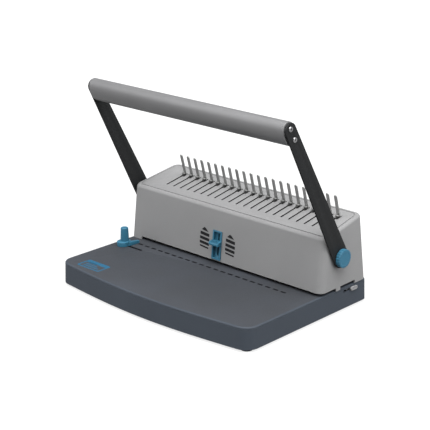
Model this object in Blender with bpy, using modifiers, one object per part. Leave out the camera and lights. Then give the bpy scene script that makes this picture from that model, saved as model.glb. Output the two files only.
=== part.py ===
"""Comb binding machine: a desk punch for plastic comb binding, built as separate named pieces.

The machine stands on a table with its paper deck towards -Y. X runs along the row of punches and
+Z is up. The origin is on the table, under the centre of the machine's bounding box.
"""

import math

import bmesh
import bpy
from mathutils import Matrix, Vector

MM = 0.001
GAP = 0.3 * MM  # between pieces that touch in the real machine

# Comb pitch, and the rows that follow it
PITCH = 14.2875 * MM
PUNCHES = 21
TINES = 22
FIRST_PUNCH_X = -149.4 * MM
FIRST_TINE_X = -140.1 * MM

# Base
BASE_HALF = 187.2 * MM
BASE_TOP_HALF = 186.4 * MM
BASE_REAR_Y = 134.5 * MM
BASE_CORNER_Y = -121.5 * MM
BASE_FRONT_Y = -134.5 * MM
BASE_BOTTOM_Z = 4.0 * MM
DECK_Z = 36.0 * MM
BASE_WALL = 3.0 * MM
FOOT_R = 8.6 * MM
FOOT_X = 172.0 * MM
FOOT_FRONT_Y = -106.0 * MM
FOOT_REAR_Y = 119.0 * MM
FRONT_CORNER_R = 18.0 * MM
REAR_CORNER_R = 6.0 * MM
BOW_STEPS = 12

# Cover: a shell with a sloping top
COVER_FRONT_HALF = 189.4 * MM
COVER_REAR_HALF = 187.0 * MM
COVER_TOP_FRONT_HALF = 188.2 * MM
COVER_TOP_REAR_HALF = 183.5 * MM
COVER_CORNER_R = 10.0 * MM
COVER_RIM = 4.0 * MM
COVER_FRONT_Y = 26.6 * MM
COVER_REAR_Y = 134.0 * MM
COVER_TOP_FRONT = Vector((0.0, 35.0 * MM, 119.0 * MM))
COVER_TOP_REAR = Vector((0.0, 124.0 * MM, 134.9 * MM))
COVER_WALL = 2.5 * MM
THROAT_Z = 41.0 * MM
THROAT_LEFT_X = -165.0 * MM
THROAT_REAR_Y = 61.5 * MM
SIDE_GAP_Y = (71.0 * MM, 105.0 * MM)

# Directions of the sloping top: SLOPE runs rearwards up it, NORMAL stands on it
SLOPE = (COVER_TOP_REAR - COVER_TOP_FRONT).normalized()
NORMAL = Vector((0.0, -SLOPE.z, SLOPE.y))

# Handle, its shaft and what the shaft drives
PIVOT = Vector((0.0, 66.0 * MM, 86.0 * MM))
HANDLE_LEAN = math.radians(28.2)
HANDLE_TRAVEL = math.radians(60.0)
HANDLE_LENGTH = 222.0 * MM
ARM_AXIS = Vector((0.0, -math.sin(HANDLE_LEAN), math.cos(HANDLE_LEAN)))
ARM_INNER_X = 189.9 * MM
ARM_TOE_IN = math.radians(1.05)  # the arms close in towards the grip
ARM_THICKNESS = 2.6 * MM
ARM_PIVOT_R = 14.9 * MM
ARM_END_R = 10.2 * MM
ARM_END_U = 228.6 * MM
GRIP_HALF = 184.7 * MM
SCREW_STAND = 1.4 * MM
GRIP_SCREW_US = (213.1 * MM, 230.8 * MM)
GRIP_A = 18.6 * MM
GRIP_B = 12.5 * MM
GRIP_WALL = 2.4 * MM
SHAFT_R = 6.0 * MM
SHAFT_HALF = 195.5 * MM
CAP_R = 13.2 * MM
CAP_DEPTH = 6.2 * MM

# Punch: the cams push the beam down by twice their throw times the sine of half the travel
CAM_THROW = 8.7 * MM
CAM_R = 17.0 * MM
CAM_X = 110.0 * MM
CAM_THICKNESS = 8.0 * MM
PUNCH_Y = 45.0 * MM
DIE_BOTTOM_Z = 33.2 * MM
DIE_POCKET_HALF = 162.6 * MM
DIE_POCKET_Y = (32.4 * MM, 57.6 * MM)
GUIDE_BOTTOM_Z = 41.2 * MM
GUIDE_TOP_Z = 44.2 * MM
PIN_SIZE = (7.6 * MM, 2.8 * MM)
PIN_BOTTOM_Z = 41.5 * MM
PIN_TOP_Z = 65.5 * MM
BEAM_HALF = 157.0 * MM
BEAM_BOTTOM_Z = 61.0 * MM
BEAM_TOP_Z = 73.0 * MM
EAR_BOTTOM_Z = 67.0 * MM
POST = Vector((130.0 * MM, 61.0 * MM, 0.0))
POST_R = 3.0 * MM
POST_TOP_Z = 77.5 * MM
SPRING_R = 5.2 * MM
WIRE_R = 0.6 * MM
SPRING_TURNS = 6

# Comb opener: a crank on the shaft slides the hooks along the slots
CRANK_X = 150.0 * MM
CRANK_R = 28.0 * MM
CRANK_THICKNESS = 3.0 * MM
CRANK_PIN_R = 2.5 * MM
HOOK_S = 58.5 * MM
HOOK_DEPTH = 3.0 * MM
TINE_S = 63.5 * MM
TINE_THICKNESS = 1.5 * MM
TINE_WIDTH = 5.2 * MM
TINE_OFFSET = 1.0 * MM  # of each tine's middle from its slot's, towards +X
TINE_LEAN = math.radians(5.0)  # forwards of the top's normal
TINE_HEIGHT = 35.0 * MM
SLOT_WIDTH = 2.6 * MM
SLOT_FRONT_S = 23.5 * MM
SLOT_HEAD_S = 56.5 * MM
SLOT_REAR_S = 67.5 * MM
SLOT_HEAD_WIDTH = 8.0 * MM

# Side frames that carry the shaft
FRAME_X = 168.0 * MM
FRAME_THICKNESS = 2.0 * MM

# Controls
GUIDE_X = -166.0 * MM
EDGE_GUIDE_Y = -8.0 * MM
EDGE_SLOT_X = (-172.5 * MM, -130.5 * MM)
EDGE_SLOT_R = 2.2 * MM
SELECTOR_Y = 103.0 * MM
SELECTOR_Z = 29.3 * MM
SELECTOR_R = 2.9 * MM
SELECTOR_SLOT_HALF = 2.0 * MM
SELECTOR_SLOT_Y = (81.0 * MM, 112.0 * MM)
SLIDER_X = -8.0 * MM
BEZEL_HALF = 9.0 * MM
BEZEL_Z = (42.5 * MM, 86.5 * MM)
BEZEL_LIP = 1.4 * MM
CHANNEL_HALF = 8.0 * MM
CHANNEL_Z = (43.5 * MM, 85.5 * MM)
CHANNEL_DEPTH = 4.0 * MM
CHANNEL_WALL = 1.2 * MM
CHANNEL_SLOT_HALF = 1.3 * MM
TAB_REACH = (-0.5 * MM, 7.5 * MM)
TAB_DEPTH = 9.6 * MM
TRAY_HALF = 149.8 * MM
TRAY_Z = (7.3 * MM, 30.0 * MM)
DRAWER_CLEARANCE = 0.5 * MM
TRAY_FRONT_Y = 36.0 * MM

COLOURS = {
    "base_plastic": ((0.071, 0.083, 0.102), 0.55, 0.0),
    "cover_plastic": ((0.33, 0.33, 0.335), 0.5, 0.0),
    "blue_plastic": ((0.05, 0.20, 0.30), 0.4, 0.0),
    "selector_plastic": ((0.42, 0.42, 0.43), 0.45, 0.0),
    "arm_paint": ((0.022, 0.024, 0.027), 0.5, 0.0),
    "grip_aluminium": ((0.30, 0.30, 0.31), 0.4, 0.6),
    "bright_steel": ((0.55, 0.55, 0.56), 0.3, 1.0),
    "dark_steel": ((0.16, 0.16, 0.165), 0.45, 1.0),
    "rubber": ((0.018, 0.019, 0.021), 0.8, 0.0),
    "bronze": ((0.45, 0.30, 0.14), 0.4, 1.0),
}


# ---------------------------------------------------------------- scene and materials


def clear_scene():
    """Removes the startup objects."""
    for obj in list(bpy.data.objects):
        bpy.data.objects.remove(obj, do_unlink=True)


def make_collection(name):
    collection = bpy.data.collections.new(name)
    bpy.context.scene.collection.children.link(collection)
    return collection


def make_materials():
    """One Principled BSDF for each finish."""
    made = {}
    for name, (colour, roughness, metallic) in COLOURS.items():
        material = bpy.data.materials.new(name)
        material.use_nodes = True
        shader = material.node_tree.nodes["Principled BSDF"]
        shader.inputs["Base Color"].default_value = (*colour, 1.0)
        shader.inputs["Roughness"].default_value = roughness
        shader.inputs["Metallic"].default_value = metallic
        made[name] = material
    return made


clear_scene()
PARTS = make_collection("comb_binding_machine")
CUTTERS = make_collection("cutters")
MATERIALS = make_materials()


def make_joint(name, place):
    """An empty on a joint's axis: the pieces that move with it are its children."""
    joint = bpy.data.objects.new(name, None)
    joint.location = place
    PARTS.objects.link(joint)
    return joint


HANDLE_JOINT = make_joint("handle_swing", PIVOT)
PUNCH_JOINT = make_joint("punch_stroke", (0.0, PUNCH_Y, BEAM_TOP_Z))


def recentre(obj):
    """Puts a mesh's origin in the middle of its box, with the shape left where it is."""
    xs, ys, zs = zip(*(vert.co for vert in obj.data.vertices))
    middle = Vector(((min(n) + max(n)) / 2 for n in (xs, ys, zs)))
    obj.data.transform(Matrix.Translation(-middle))
    obj.location = middle


def finish(obj, material, joint=None):
    """Sets the material, smooths round faces, and files the piece as a part of the joint."""
    obj.data.materials.clear()
    obj.data.materials.append(MATERIALS[material])
    if obj.type == "MESH":
        obj.data.shade_smooth()
        obj.data.set_sharp_from_angle(angle=math.radians(35))
        recentre(obj)
    if joint:
        obj.parent = joint
        obj.location = obj.location - joint.location
    PARTS.objects.link(obj)
    return obj


# ---------------------------------------------------------------- shapes


def mesh_object(name, bm):
    mesh = bpy.data.meshes.new(name)
    bm.to_mesh(mesh)
    bm.free()
    return bpy.data.objects.new(name, mesh)


def evaluated_mesh(source):
    """The closed mesh that a curve or a modified object gives."""
    CUTTERS.objects.link(source)
    bpy.context.view_layer.update()
    graph = bpy.context.evaluated_depsgraph_get()
    mesh = bpy.data.meshes.new_from_object(source.evaluated_get(graph))
    bm = bmesh.new()
    bm.from_mesh(mesh)
    bmesh.ops.remove_doubles(bm, verts=bm.verts, dist=1e-7)
    bmesh.ops.recalc_face_normals(bm, faces=bm.faces)
    bm.to_mesh(mesh)
    bm.free()
    return mesh


def box(name, low, high, matrix=Matrix.Identity(4)):
    """A cuboid between two corners, which matrix then places."""
    low = Vector(low)
    high = Vector(high)
    bm = bmesh.new()
    bmesh.ops.create_cube(bm, size=1.0)
    bmesh.ops.scale(bm, vec=high - low, verts=bm.verts)
    bmesh.ops.translate(bm, vec=(low + high) / 2, verts=bm.verts)
    bmesh.ops.transform(bm, matrix=matrix, verts=bm.verts)
    return mesh_object(name, bm)


def rod(name, start, end, radius, segments=32, end_radius=None):
    """A round bar or a cone between two points."""
    start = Vector(start)
    end = Vector(end)
    bm = bmesh.new()
    bmesh.ops.create_cone(
        bm,
        cap_ends=True,
        segments=segments,
        radius1=radius,
        radius2=radius if end_radius is None else end_radius,
        depth=(end - start).length,
    )
    turn = (end - start).to_track_quat("Z", "Y").to_matrix().to_4x4()
    bmesh.ops.transform(bm, matrix=Matrix.Translation((start + end) / 2) @ turn, verts=bm.verts)
    return mesh_object(name, bm)


def plate(name, outlines, thickness, matrix):
    """A flat piece: the first outline is its edge and the others are holes, in matrix's XY plane."""
    curve = bpy.data.curves.new(name, "CURVE")
    curve.dimensions = "2D"
    curve.fill_mode = "BOTH"
    curve.extrude = thickness / 2
    for outline in outlines:
        spline = curve.splines.new("POLY")
        spline.points.add(len(outline) - 1)
        for point, (x, y) in zip(spline.points, outline):
            point.co = (x, y, 0.0, 1.0)
        spline.use_cyclic_u = True
    source = bpy.data.objects.new(name + "_outline", curve)
    mesh = evaluated_mesh(source)
    bpy.data.objects.remove(source, do_unlink=True)
    mesh.transform(matrix)
    return bpy.data.objects.new(name, mesh)


def facing_x(x):
    """Matrix whose local X, Y and Z are the machine's Y, Z and X: for outlines seen from the side."""
    axes = Matrix(((0, 0, 1), (1, 0, 0), (0, 1, 0))).to_4x4()
    return Matrix.Translation((x, 0.0, 0.0)) @ axes


def on_slope(x, s, n):
    """The point at x that lies s up the cover's top and n above it."""
    point = COVER_TOP_FRONT + SLOPE * s + NORMAL * n
    return Vector((x, point.y, point.z))


def slope_frame(s, n):
    """Matrix whose local X, Y and Z are the machine's X, SLOPE and NORMAL."""
    turn = Matrix((Vector((1, 0, 0)), SLOPE, NORMAL)).transposed().to_4x4()
    return Matrix.Translation(on_slope(0.0, s, n)) @ turn


def upright_frame(s):
    """Matrix whose local X, Y and Z are the machine's X, NORMAL and minus SLOPE."""
    turn = Matrix((Vector((1, 0, 0)), NORMAL, -SLOPE)).transposed().to_4x4()
    return Matrix.Translation(on_slope(0.0, s, 0.0)) @ turn


def arc(centre, radius, start, end, steps):
    """Points on an arc, both ends included, angles in degrees."""
    angles = [math.radians(start + (end - start) * k / steps) for k in range(steps + 1)]
    return [(centre[0] + radius * math.cos(a), centre[1] + radius * math.sin(a)) for a in angles]


def circle(centre, radius, segments):
    return arc(centre, radius, 0.0, 360.0 * (segments - 1) / segments, segments - 1)


def rectangle(x0, x1, y0, y1):
    return [(x0, y0), (x1, y0), (x1, y1), (x0, y1)]


def capsule_outline(centre_a, radius_a, centre_b, radius_b, steps):
    """The outline round two circles and their common tangents."""
    a = Vector(centre_a)
    b = Vector(centre_b)
    heading = math.degrees(math.atan2(b.y - a.y, b.x - a.x))
    spread = math.degrees(math.acos((radius_a - radius_b) / (b - a).length))
    around_a = arc(a, radius_a, heading + spread, heading + 360.0 - spread, steps)
    around_b = arc(b, radius_b, heading - spread, heading + spread, steps)
    return around_a + around_b


def combine(obj, other, operation):
    """Adds a Boolean whose second shape stays with the cutters, out of the render."""
    other.hide_render = True
    other.display_type = "WIRE"
    CUTTERS.objects.link(other)
    modifier = obj.modifiers.new(other.name, "BOOLEAN")
    modifier.operation = operation
    modifier.object = other
    return obj


def cut(obj, cutter):
    return combine(obj, cutter, "DIFFERENCE")


def join(obj, other):
    return combine(obj, other, "UNION")


def add_wall(obj, thickness):
    """Gives an open surface an inward wall."""
    modifier = obj.modifiers.new("wall", "SOLIDIFY")
    modifier.thickness = thickness
    modifier.offset = -1.0
    modifier.use_even_offset = True
    return obj


# ---------------------------------------------------------------- base


def base_outline(inset, steps=4):
    """Plan of the base: straight sides and rear, rounded corners and a bowed front."""
    half = BASE_HALF - inset
    front = BASE_CORNER_Y + inset
    rear = BASE_REAR_Y - inset
    front_r = FRONT_CORNER_R - inset
    rear_r = max(REAR_CORNER_R - inset, 1.5 * MM)
    turn = 76.0  # the front corners stop short of a right angle, where the bow starts
    right = arc((half - front_r, front + front_r), front_r, 0.0, -turn, steps)
    left = arc((-half + front_r, front + front_r), front_r, -180.0 + turn, -180.0, steps)
    bow = []
    depth = right[-1][1] - BASE_FRONT_Y - inset
    for k in range(1, BOW_STEPS):
        share = k / BOW_STEPS
        x = right[-1][0] + (left[0][0] - right[-1][0]) * share
        bow.append((x, right[-1][1] - depth * math.sin(math.pi * share)))
    rear_left = arc((-half + rear_r, rear - rear_r), rear_r, 180.0, 90.0, 3)
    rear_right = arc((half - rear_r, rear - rear_r), rear_r, 90.0, 0.0, 3)
    return right + bow + left + rear_left + rear_right


def drafted_shell(name, outline_low, outline_high, low_z, high_z, bevel, wall):
    """A cup turned upside down: side faces between two outlines, a top face, a rounded rim."""
    bm = bmesh.new()
    low = [bm.verts.new((x, y, low_z)) for x, y in outline_low]
    face = bm.faces.new(low)
    top = bmesh.ops.extrude_face_region(bm, geom=[face])["geom"]
    verts = [v for v in top if isinstance(v, bmesh.types.BMVert)]
    places = dict(zip(low, outline_high))
    for vert in verts:
        below = next(e.other_vert(vert) for e in vert.link_edges if e.other_vert(vert) in places)
        vert.co = (*places[below], high_z)
    bmesh.ops.delete(bm, geom=[face], context="FACES_KEEP_BOUNDARY")
    rim = [e for e in bm.edges if all(abs(v.co.z - high_z) < 1e-7 for v in e.verts)]
    bmesh.ops.recalc_face_normals(bm, faces=bm.faces)
    bmesh.ops.bevel(bm, geom=rim, offset=bevel, segments=3, profile=0.5, affect="EDGES")
    bmesh.ops.recalc_face_normals(bm, faces=bm.faces)
    if sum((f.normal.z for f in bm.faces)) < 0:
        bmesh.ops.reverse_faces(bm, faces=bm.faces)
    return add_wall(mesh_object(name, bm), wall)


def make_base():
    shell = drafted_shell(
        "base_tray",
        base_outline(0.0),
        base_outline(BASE_HALF - BASE_TOP_HALF),
        BASE_BOTTOM_Z,
        DECK_Z,
        2.5 * MM,
        BASE_WALL,
    )
    front, rear = DIE_POCKET_Y
    pocket_low = (-DIE_POCKET_HALF, front, DECK_Z - 2 * BASE_WALL)
    cut(shell, box("cutter", pocket_low, (DIE_POCKET_HALF, rear, DECK_Z + 2 * BASE_WALL)))
    left, right = ((x, EDGE_GUIDE_Y) for x in EDGE_SLOT_X)
    slot = plate(
        "cutter",
        [capsule_outline(left, EDGE_SLOT_R, right, EDGE_SLOT_R, 4)],
        4 * BASE_WALL,
        Matrix.Translation((0.0, 0.0, DECK_Z)),
    )
    cut(shell, slot)
    way_half = TRAY_HALF + DRAWER_CLEARANCE
    way_low = (-way_half, BASE_REAR_Y - 5 * BASE_WALL, TRAY_Z[0] - DRAWER_CLEARANCE)
    way_high = (way_half, BASE_REAR_Y + 5 * BASE_WALL, TRAY_Z[1] + DRAWER_CLEARANCE)
    cut(shell, box("cutter", way_low, way_high))
    low, high = SELECTOR_SLOT_Y
    selector_way = box(
        "cutter",
        (BASE_HALF - 10 * MM, low, SELECTOR_Z - SELECTOR_SLOT_HALF),
        (BASE_HALF + 10 * MM, high, SELECTOR_Z + SELECTOR_SLOT_HALF),
    )
    cut(shell, selector_way)
    finish(shell, "base_plastic")
    floor = plate(
        "bottom_plate",
        [base_outline(BASE_WALL + GAP)],
        1.5 * MM,
        Matrix.Translation((0.0, 0.0, BASE_BOTTOM_Z + GAP + 0.75 * MM)),
    )
    finish(floor, "dark_steel")
    for side, x in (("left", -FOOT_X), ("right", FOOT_X)):
        for place, y in (("front", FOOT_FRONT_Y), ("rear", FOOT_REAR_Y)):
            foot = rod(
                f"{place}_{side}_foot", (x, y, 0.0), (x, y, BASE_BOTTOM_Z), FOOT_R, 24, FOOT_R + 1.4 * MM
            )
            finish(foot, "rubber")


def make_chip_tray():
    """Drawer under the dies that catches the punched chips and pulls out at the rear."""
    low, high = TRAY_Z
    tray = box("chip_tray", (-TRAY_HALF, TRAY_FRONT_Y, low), (TRAY_HALF, BASE_REAR_Y, high))
    wall = 2.0 * MM
    inside = box(
        "cutter",
        (-TRAY_HALF + wall, TRAY_FRONT_Y + wall, low + wall),
        (TRAY_HALF - wall, BASE_REAR_Y - 3.0 * MM, high + 1 * MM),
    )
    cut(tray, inside)
    pull = rod("cutter", (-30 * MM, 140 * MM, 17 * MM), (30 * MM, 140 * MM, 17 * MM), 7.5 * MM, 24)
    cut(tray, pull)
    finish(tray, "base_plastic")


# ---------------------------------------------------------------- cover


def cover_blank():
    """The outside of the cover: a tapering block with rounded uprights and a rounded top rim."""
    bm = bmesh.new()
    bmesh.ops.create_cube(bm, size=2.0)
    bottom_z = DECK_Z + GAP
    for vert in bm.verts:
        side = math.copysign(1.0, vert.co.x)
        front = vert.co.y < 0
        if vert.co.z < 0:
            half = COVER_FRONT_HALF if front else COVER_REAR_HALF
            y = COVER_FRONT_Y if front else COVER_REAR_Y
            vert.co = (side * half, y, bottom_z)
        else:
            half = COVER_TOP_FRONT_HALF if front else COVER_TOP_REAR_HALF
            top = COVER_TOP_FRONT if front else COVER_TOP_REAR
            vert.co = (side * half, top.y, top.z)
    uprights = [e for e in bm.edges if abs(e.verts[0].co.z - e.verts[1].co.z) > 50 * MM]
    bmesh.ops.bevel(bm, geom=uprights, offset=COVER_CORNER_R, segments=5, profile=0.5, affect="EDGES")
    bottom = [f for f in bm.faces if all(abs(v.co.z - bottom_z) < 1e-6 for v in f.verts)]
    bmesh.ops.delete(bm, geom=bottom, context="FACES_KEEP_BOUNDARY")
    top_face = max(bm.faces, key=lambda f: f.calc_center_median().z)
    bmesh.ops.bevel(
        bm, geom=list(top_face.edges), offset=COVER_RIM, segments=3, profile=0.5, affect="EDGES"
    )
    bmesh.ops.recalc_face_normals(bm, faces=bm.faces)
    if max(bm.faces, key=lambda f: f.calc_area()).normal.z < 0:
        bmesh.ops.reverse_faces(bm, faces=bm.faces)
    return mesh_object("cover", bm)


def tee_slot(x):
    """Outline of one opener slot: narrow for the hook's run, wide at the rear for the tine."""
    narrow = SLOT_WIDTH / 2
    wide = SLOT_HEAD_WIDTH / 2
    front = arc((x, SLOT_FRONT_S + narrow), narrow, 180.0, 360.0, 4)
    head = [
        (x + narrow, SLOT_HEAD_S),
        (x + wide, SLOT_HEAD_S),
        (x + wide, SLOT_REAR_S),
        (x - wide + 2.0 * MM, SLOT_REAR_S),
        (x - wide + 2.0 * MM, SLOT_HEAD_S),
        (x - narrow, SLOT_HEAD_S),
    ]
    return front + head


def front_wall_y(z):
    """Y of the cover's outer front face at a height."""
    share = (z - DECK_Z) / (COVER_TOP_FRONT.z - DECK_Z)
    return COVER_FRONT_Y + (COVER_TOP_FRONT.y - COVER_FRONT_Y) * share


def front_frame(z):
    """Matrix whose local X, Y and Z are the machine's X, up the front wall, and out of it."""
    up = Vector((0.0, COVER_TOP_FRONT.y - COVER_FRONT_Y, COVER_TOP_FRONT.z - DECK_Z)).normalized()
    right = Vector((1.0, 0.0, 0.0))
    turn = Matrix((right, up, right.cross(up))).transposed().to_4x4()
    return Matrix.Translation((SLIDER_X, front_wall_y(z), z)) @ turn


def make_cover():
    cover = add_wall(cover_blank(), COVER_WALL)
    slots = plate(
        "cutter",
        [tee_slot(FIRST_TINE_X + PITCH * k) for k in range(TINES)],
        12 * MM,
        slope_frame(0.0, 0.0),
    )
    cut(cover, slots)
    beyond = COVER_FRONT_HALF + 4 * COVER_WALL
    below = DECK_Z - 2 * COVER_WALL
    cut(cover, box("cutter", (THROAT_LEFT_X, 0.0, below), (beyond, THROAT_REAR_Y, THROAT_Z)))
    front, rear = SIDE_GAP_Y
    inboard = COVER_FRONT_HALF - 6 * COVER_WALL
    cut(cover, box("cutter", (inboard, front, below), (beyond, rear, THROAT_Z)))
    cut(cover, rod("cutter", (-beyond, *PIVOT.yz), (beyond, *PIVOT.yz), SHAFT_R + 2.0 * MM))
    middle = sum(CHANNEL_Z) / 2
    reach = (CHANNEL_Z[1] - CHANNEL_Z[0]) / 2
    channel = box(
        "cutter",
        (-CHANNEL_HALF, -reach, -10 * MM),
        (CHANNEL_HALF, reach, 10 * MM),
        front_frame(middle),
    )
    cut(cover, channel)
    finish(cover, "cover_plastic")


# ---------------------------------------------------------------- comb opener


def tine_outline():
    """The fixed comb seen from behind: a web with a round-ended tine over each slot."""
    web_low = -14.0 * MM
    web_high = -5.0 * MM
    half = TINE_WIDTH / 2
    points = [(-FRAME_X + FRAME_THICKNESS + GAP, web_high), (-FRAME_X + FRAME_THICKNESS + GAP, web_low)]
    points += [(FRAME_X - FRAME_THICKNESS - GAP, web_low), (FRAME_X - FRAME_THICKNESS - GAP, web_high)]
    for k in reversed(range(TINES)):
        x = FIRST_TINE_X + PITCH * k + TINE_OFFSET
        points.append((x + half, web_high))
        points += arc((x, TINE_HEIGHT - half), half, 0.0, 180.0, 4)
        points.append((x - half, web_high))
    return points


def hook_outline():
    """The moving comb seen from behind: a web with a short hook over each slot, its tip to +X."""
    web_low = -11.0 * MM
    web_high = -4.0 * MM
    half = 0.7 * MM
    tip_x = 4.6 * MM
    tip_low = 3.2 * MM
    tip_high = 4.8 * MM
    left = FIRST_TINE_X - 16.4 * MM
    right = FIRST_TINE_X + PITCH * (TINES - 1) + 5.4 * MM
    points = [(left, web_high), (left, web_low), (right, web_low), (right, web_high)]
    for k in reversed(range(TINES)):
        x = FIRST_TINE_X + PITCH * k
        points += [(x + half, web_high), (x + half, tip_low), (x + tip_x, tip_low)]
        points += [(x + tip_x, tip_high), (x - half, tip_high), (x - half, web_high)]
    return points


def make_opener():
    tines = plate(
        "tine_comb",
        [tine_outline()],
        TINE_THICKNESS,
        upright_frame(TINE_S + TINE_THICKNESS / 2) @ Matrix.Rotation(TINE_LEAN, 4, "X"),
    )
    finish(tines, "bright_steel")
    hooks = plate("hook_comb", [hook_outline()], HOOK_DEPTH, upright_frame(HOOK_S + HOOK_DEPTH / 2))
    shaft_s = (PIVOT - COVER_TOP_FRONT).dot(SLOPE)
    pin_s = shaft_s + CRANK_R * math.sin(HANDLE_TRAVEL / 2)
    slot_half = CRANK_PIN_R + 0.65 * MM
    for x in (-CRANK_X - 4.0 * MM, CRANK_X + 4.0 * MM):
        edge = rectangle(pin_s - 6.0 * MM, HOOK_S + 2.0 * MM, -20.0 * MM, -4.3 * MM)
        way = rectangle(pin_s - slot_half, pin_s + slot_half, -17.6 * MM, -6.4 * MM)
        side = Matrix((SLOPE, NORMAL, SLOPE.cross(NORMAL))).transposed().to_4x4()
        tab = plate("tab", [edge, way], 2.0 * MM, Matrix.Translation(on_slope(x, 0.0, 0.0)) @ side)
        join(hooks, tab)
    finish(hooks, "dark_steel")


# ---------------------------------------------------------------- punch


def punch_xs():
    return [FIRST_PUNCH_X + PITCH * k for k in range(PUNCHES)]


def punch_holes(margin):
    """Outlines of the punches, grown by margin, in the XY plane."""
    half_x = PIN_SIZE[0] / 2 + margin
    half_y = PIN_SIZE[1] / 2 + margin
    return [rectangle(x - half_x, x + half_x, PUNCH_Y - half_y, PUNCH_Y + half_y) for x in punch_xs()]


def make_dies():
    die_thickness = DECK_Z - DIE_BOTTOM_Z
    die = plate(
        "die_plate",
        [rectangle(-162.3 * MM, 162.3 * MM, 32.7 * MM, 57.3 * MM)] + punch_holes(GAP),
        die_thickness,
        Matrix.Translation((0.0, 0.0, DIE_BOTTOM_Z + die_thickness / 2)),
    )
    finish(die, "bright_steel")
    guide_thickness = GUIDE_TOP_Z - GUIDE_BOTTOM_Z
    post_seats = [circle((x, POST.y), POST_R - 0.5 * MM, 16) for x in (-POST.x, POST.x)]
    guide = plate(
        "punch_guide",
        [rectangle(-165.6 * MM, 165.6 * MM, 33.0 * MM, 69.0 * MM)] + punch_holes(GAP) + post_seats,
        guide_thickness,
        Matrix.Translation((0.0, 0.0, GUIDE_BOTTOM_Z + guide_thickness / 2)),
    )
    for x in (-POST.x, POST.x):
        post = rod("post", (x, POST.y, GUIDE_BOTTOM_Z + 0.4 * MM), (x, POST.y, POST_TOP_Z), POST_R, 16)
        join(guide, post)
    finish(guide, "dark_steel")


def make_punch_beam():
    beam = box(
        "punch_beam",
        (-BEAM_HALF, PUNCH_Y - 7.0 * MM, BEAM_BOTTOM_Z),
        (BEAM_HALF, PUNCH_Y + 7.0 * MM, BEAM_TOP_Z),
    )
    for side in (-1.0, 1.0):
        ends = sorted((side * 102.0 * MM, side * 138.0 * MM))
        ear = box("ear", (ends[0], 50.0 * MM, EAR_BOTTOM_Z), (ends[1], 68.0 * MM, BEAM_TOP_Z))
        join(beam, ear)
        x = side * POST.x
        way = rod("cutter", (x, POST.y, 60 * MM), (x, POST.y, 80 * MM), POST_R + 0.45 * MM, 16)
        cut(beam, way)
    pocket_top = PIN_TOP_Z + GAP
    pockets = plate(
        "cutter",
        punch_holes(GAP),
        2 * (pocket_top - BEAM_BOTTOM_Z),
        Matrix.Translation((0.0, 0.0, BEAM_BOTTOM_Z)),
    )
    cut(beam, pockets)
    finish(beam, "dark_steel", PUNCH_JOINT)
    for k, x in enumerate(punch_xs()):
        half_x = PIN_SIZE[0] / 2
        half_y = PIN_SIZE[1] / 2
        pin = box(
            f"punch_pin_{k + 1:02d}",
            (x - half_x, PUNCH_Y - half_y, PIN_BOTTOM_Z),
            (x + half_x, PUNCH_Y + half_y, PIN_TOP_Z),
        )
        finish(pin, "bright_steel", PUNCH_JOINT)


def make_return_springs():
    """A compression spring round each post, between the guide plate and the beam's ear."""
    low = GUIDE_TOP_Z + GAP + WIRE_R
    high = EAR_BOTTOM_Z - GAP - WIRE_R
    per_turn = 12
    count = SPRING_TURNS * per_turn
    for name, x in (("left_return_spring", -POST.x), ("right_return_spring", POST.x)):
        curve = bpy.data.curves.new(name, "CURVE")
        curve.dimensions = "3D"
        curve.bevel_depth = WIRE_R
        curve.bevel_resolution = 1
        curve.use_fill_caps = True
        spline = curve.splines.new("POLY")
        spline.points.add(count)
        for k, point in enumerate(spline.points):
            angle = 2 * math.pi * k / per_turn
            z = low + (high - low) * k / count
            point.co = (SPRING_R * math.cos(angle), SPRING_R * math.sin(angle), z, 1.0)
        spring = bpy.data.objects.new(name, curve)
        spring.location = (x, POST.y, 0.0)
        finish(spring, "bright_steel")


# ---------------------------------------------------------------- side frames and bushes


def make_side_frames():
    edge = [
        (33.0 * MM, 72.0 * MM),
        (33.0 * MM, DECK_Z + GAP),
        (100.0 * MM, DECK_Z + GAP),
        (104.0 * MM, 112.0 * MM),
        (94.0 * MM, 118.0 * MM),
        (60.0 * MM, 104.0 * MM),
    ]
    for name, side in (("left_side_frame", -1.0), ("right_side_frame", 1.0)):
        middle_x = side * (FRAME_X - FRAME_THICKNESS / 2)
        bore = circle(PIVOT.yz, 9.3 * MM, 32)
        frame = plate(name, [edge, bore], FRAME_THICKNESS, facing_x(middle_x))
        ends = sorted((side * (FRAME_X - 0.5 * MM), side * (FRAME_X + 9.0 * MM)))
        flange = box(
            "flange",
            (ends[0], 36.0 * MM, DECK_Z + GAP),
            (ends[1], 98.0 * MM, DECK_Z + GAP + 2.0 * MM),
        )
        join(frame, flange)
        if side > 0:
            paper_way = box("cutter", (150 * MM, 20 * MM, 30 * MM), (190 * MM, 60 * MM, THROAT_Z))
            cut(frame, paper_way)
        finish(frame, "dark_steel")


def turned(name, profile, centre, side, segments=32):
    """A piece turned about the X axis: profile runs (x, radius) from its outer end inwards."""
    points = [Vector((radius, 0.0, x)) for x, radius in profile]
    bm = bmesh.new()
    verts = [bm.verts.new(point) for point in points]
    for a, b in zip(verts, verts[1:] + verts[:1]):
        if max(abs(a.co.x), abs(b.co.x)) > 0.0:
            bm.edges.new((a, b))
    source = mesh_object(name + "_profile", bm)
    screw = source.modifiers.new("turn", "SCREW")
    screw.steps = segments
    screw.render_steps = segments
    screw.use_merge_vertices = True
    screw.merge_threshold = 0.00001
    return turned_mesh(name, source, centre, side)


def turned_mesh(name, source, centre, side):
    """Applies a Screw and lays its axis along X, outwards on the given side."""
    mesh = evaluated_mesh(source)
    bpy.data.objects.remove(source, do_unlink=True)
    half_turn = Matrix.Rotation(0.0 if side > 0 else math.pi, 4, "Z")
    matrix = Matrix.Translation(centre) @ half_turn @ Matrix.Rotation(math.pi / 2, 4, "Y")
    mesh.transform(matrix)
    return bpy.data.objects.new(name, mesh)


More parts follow.
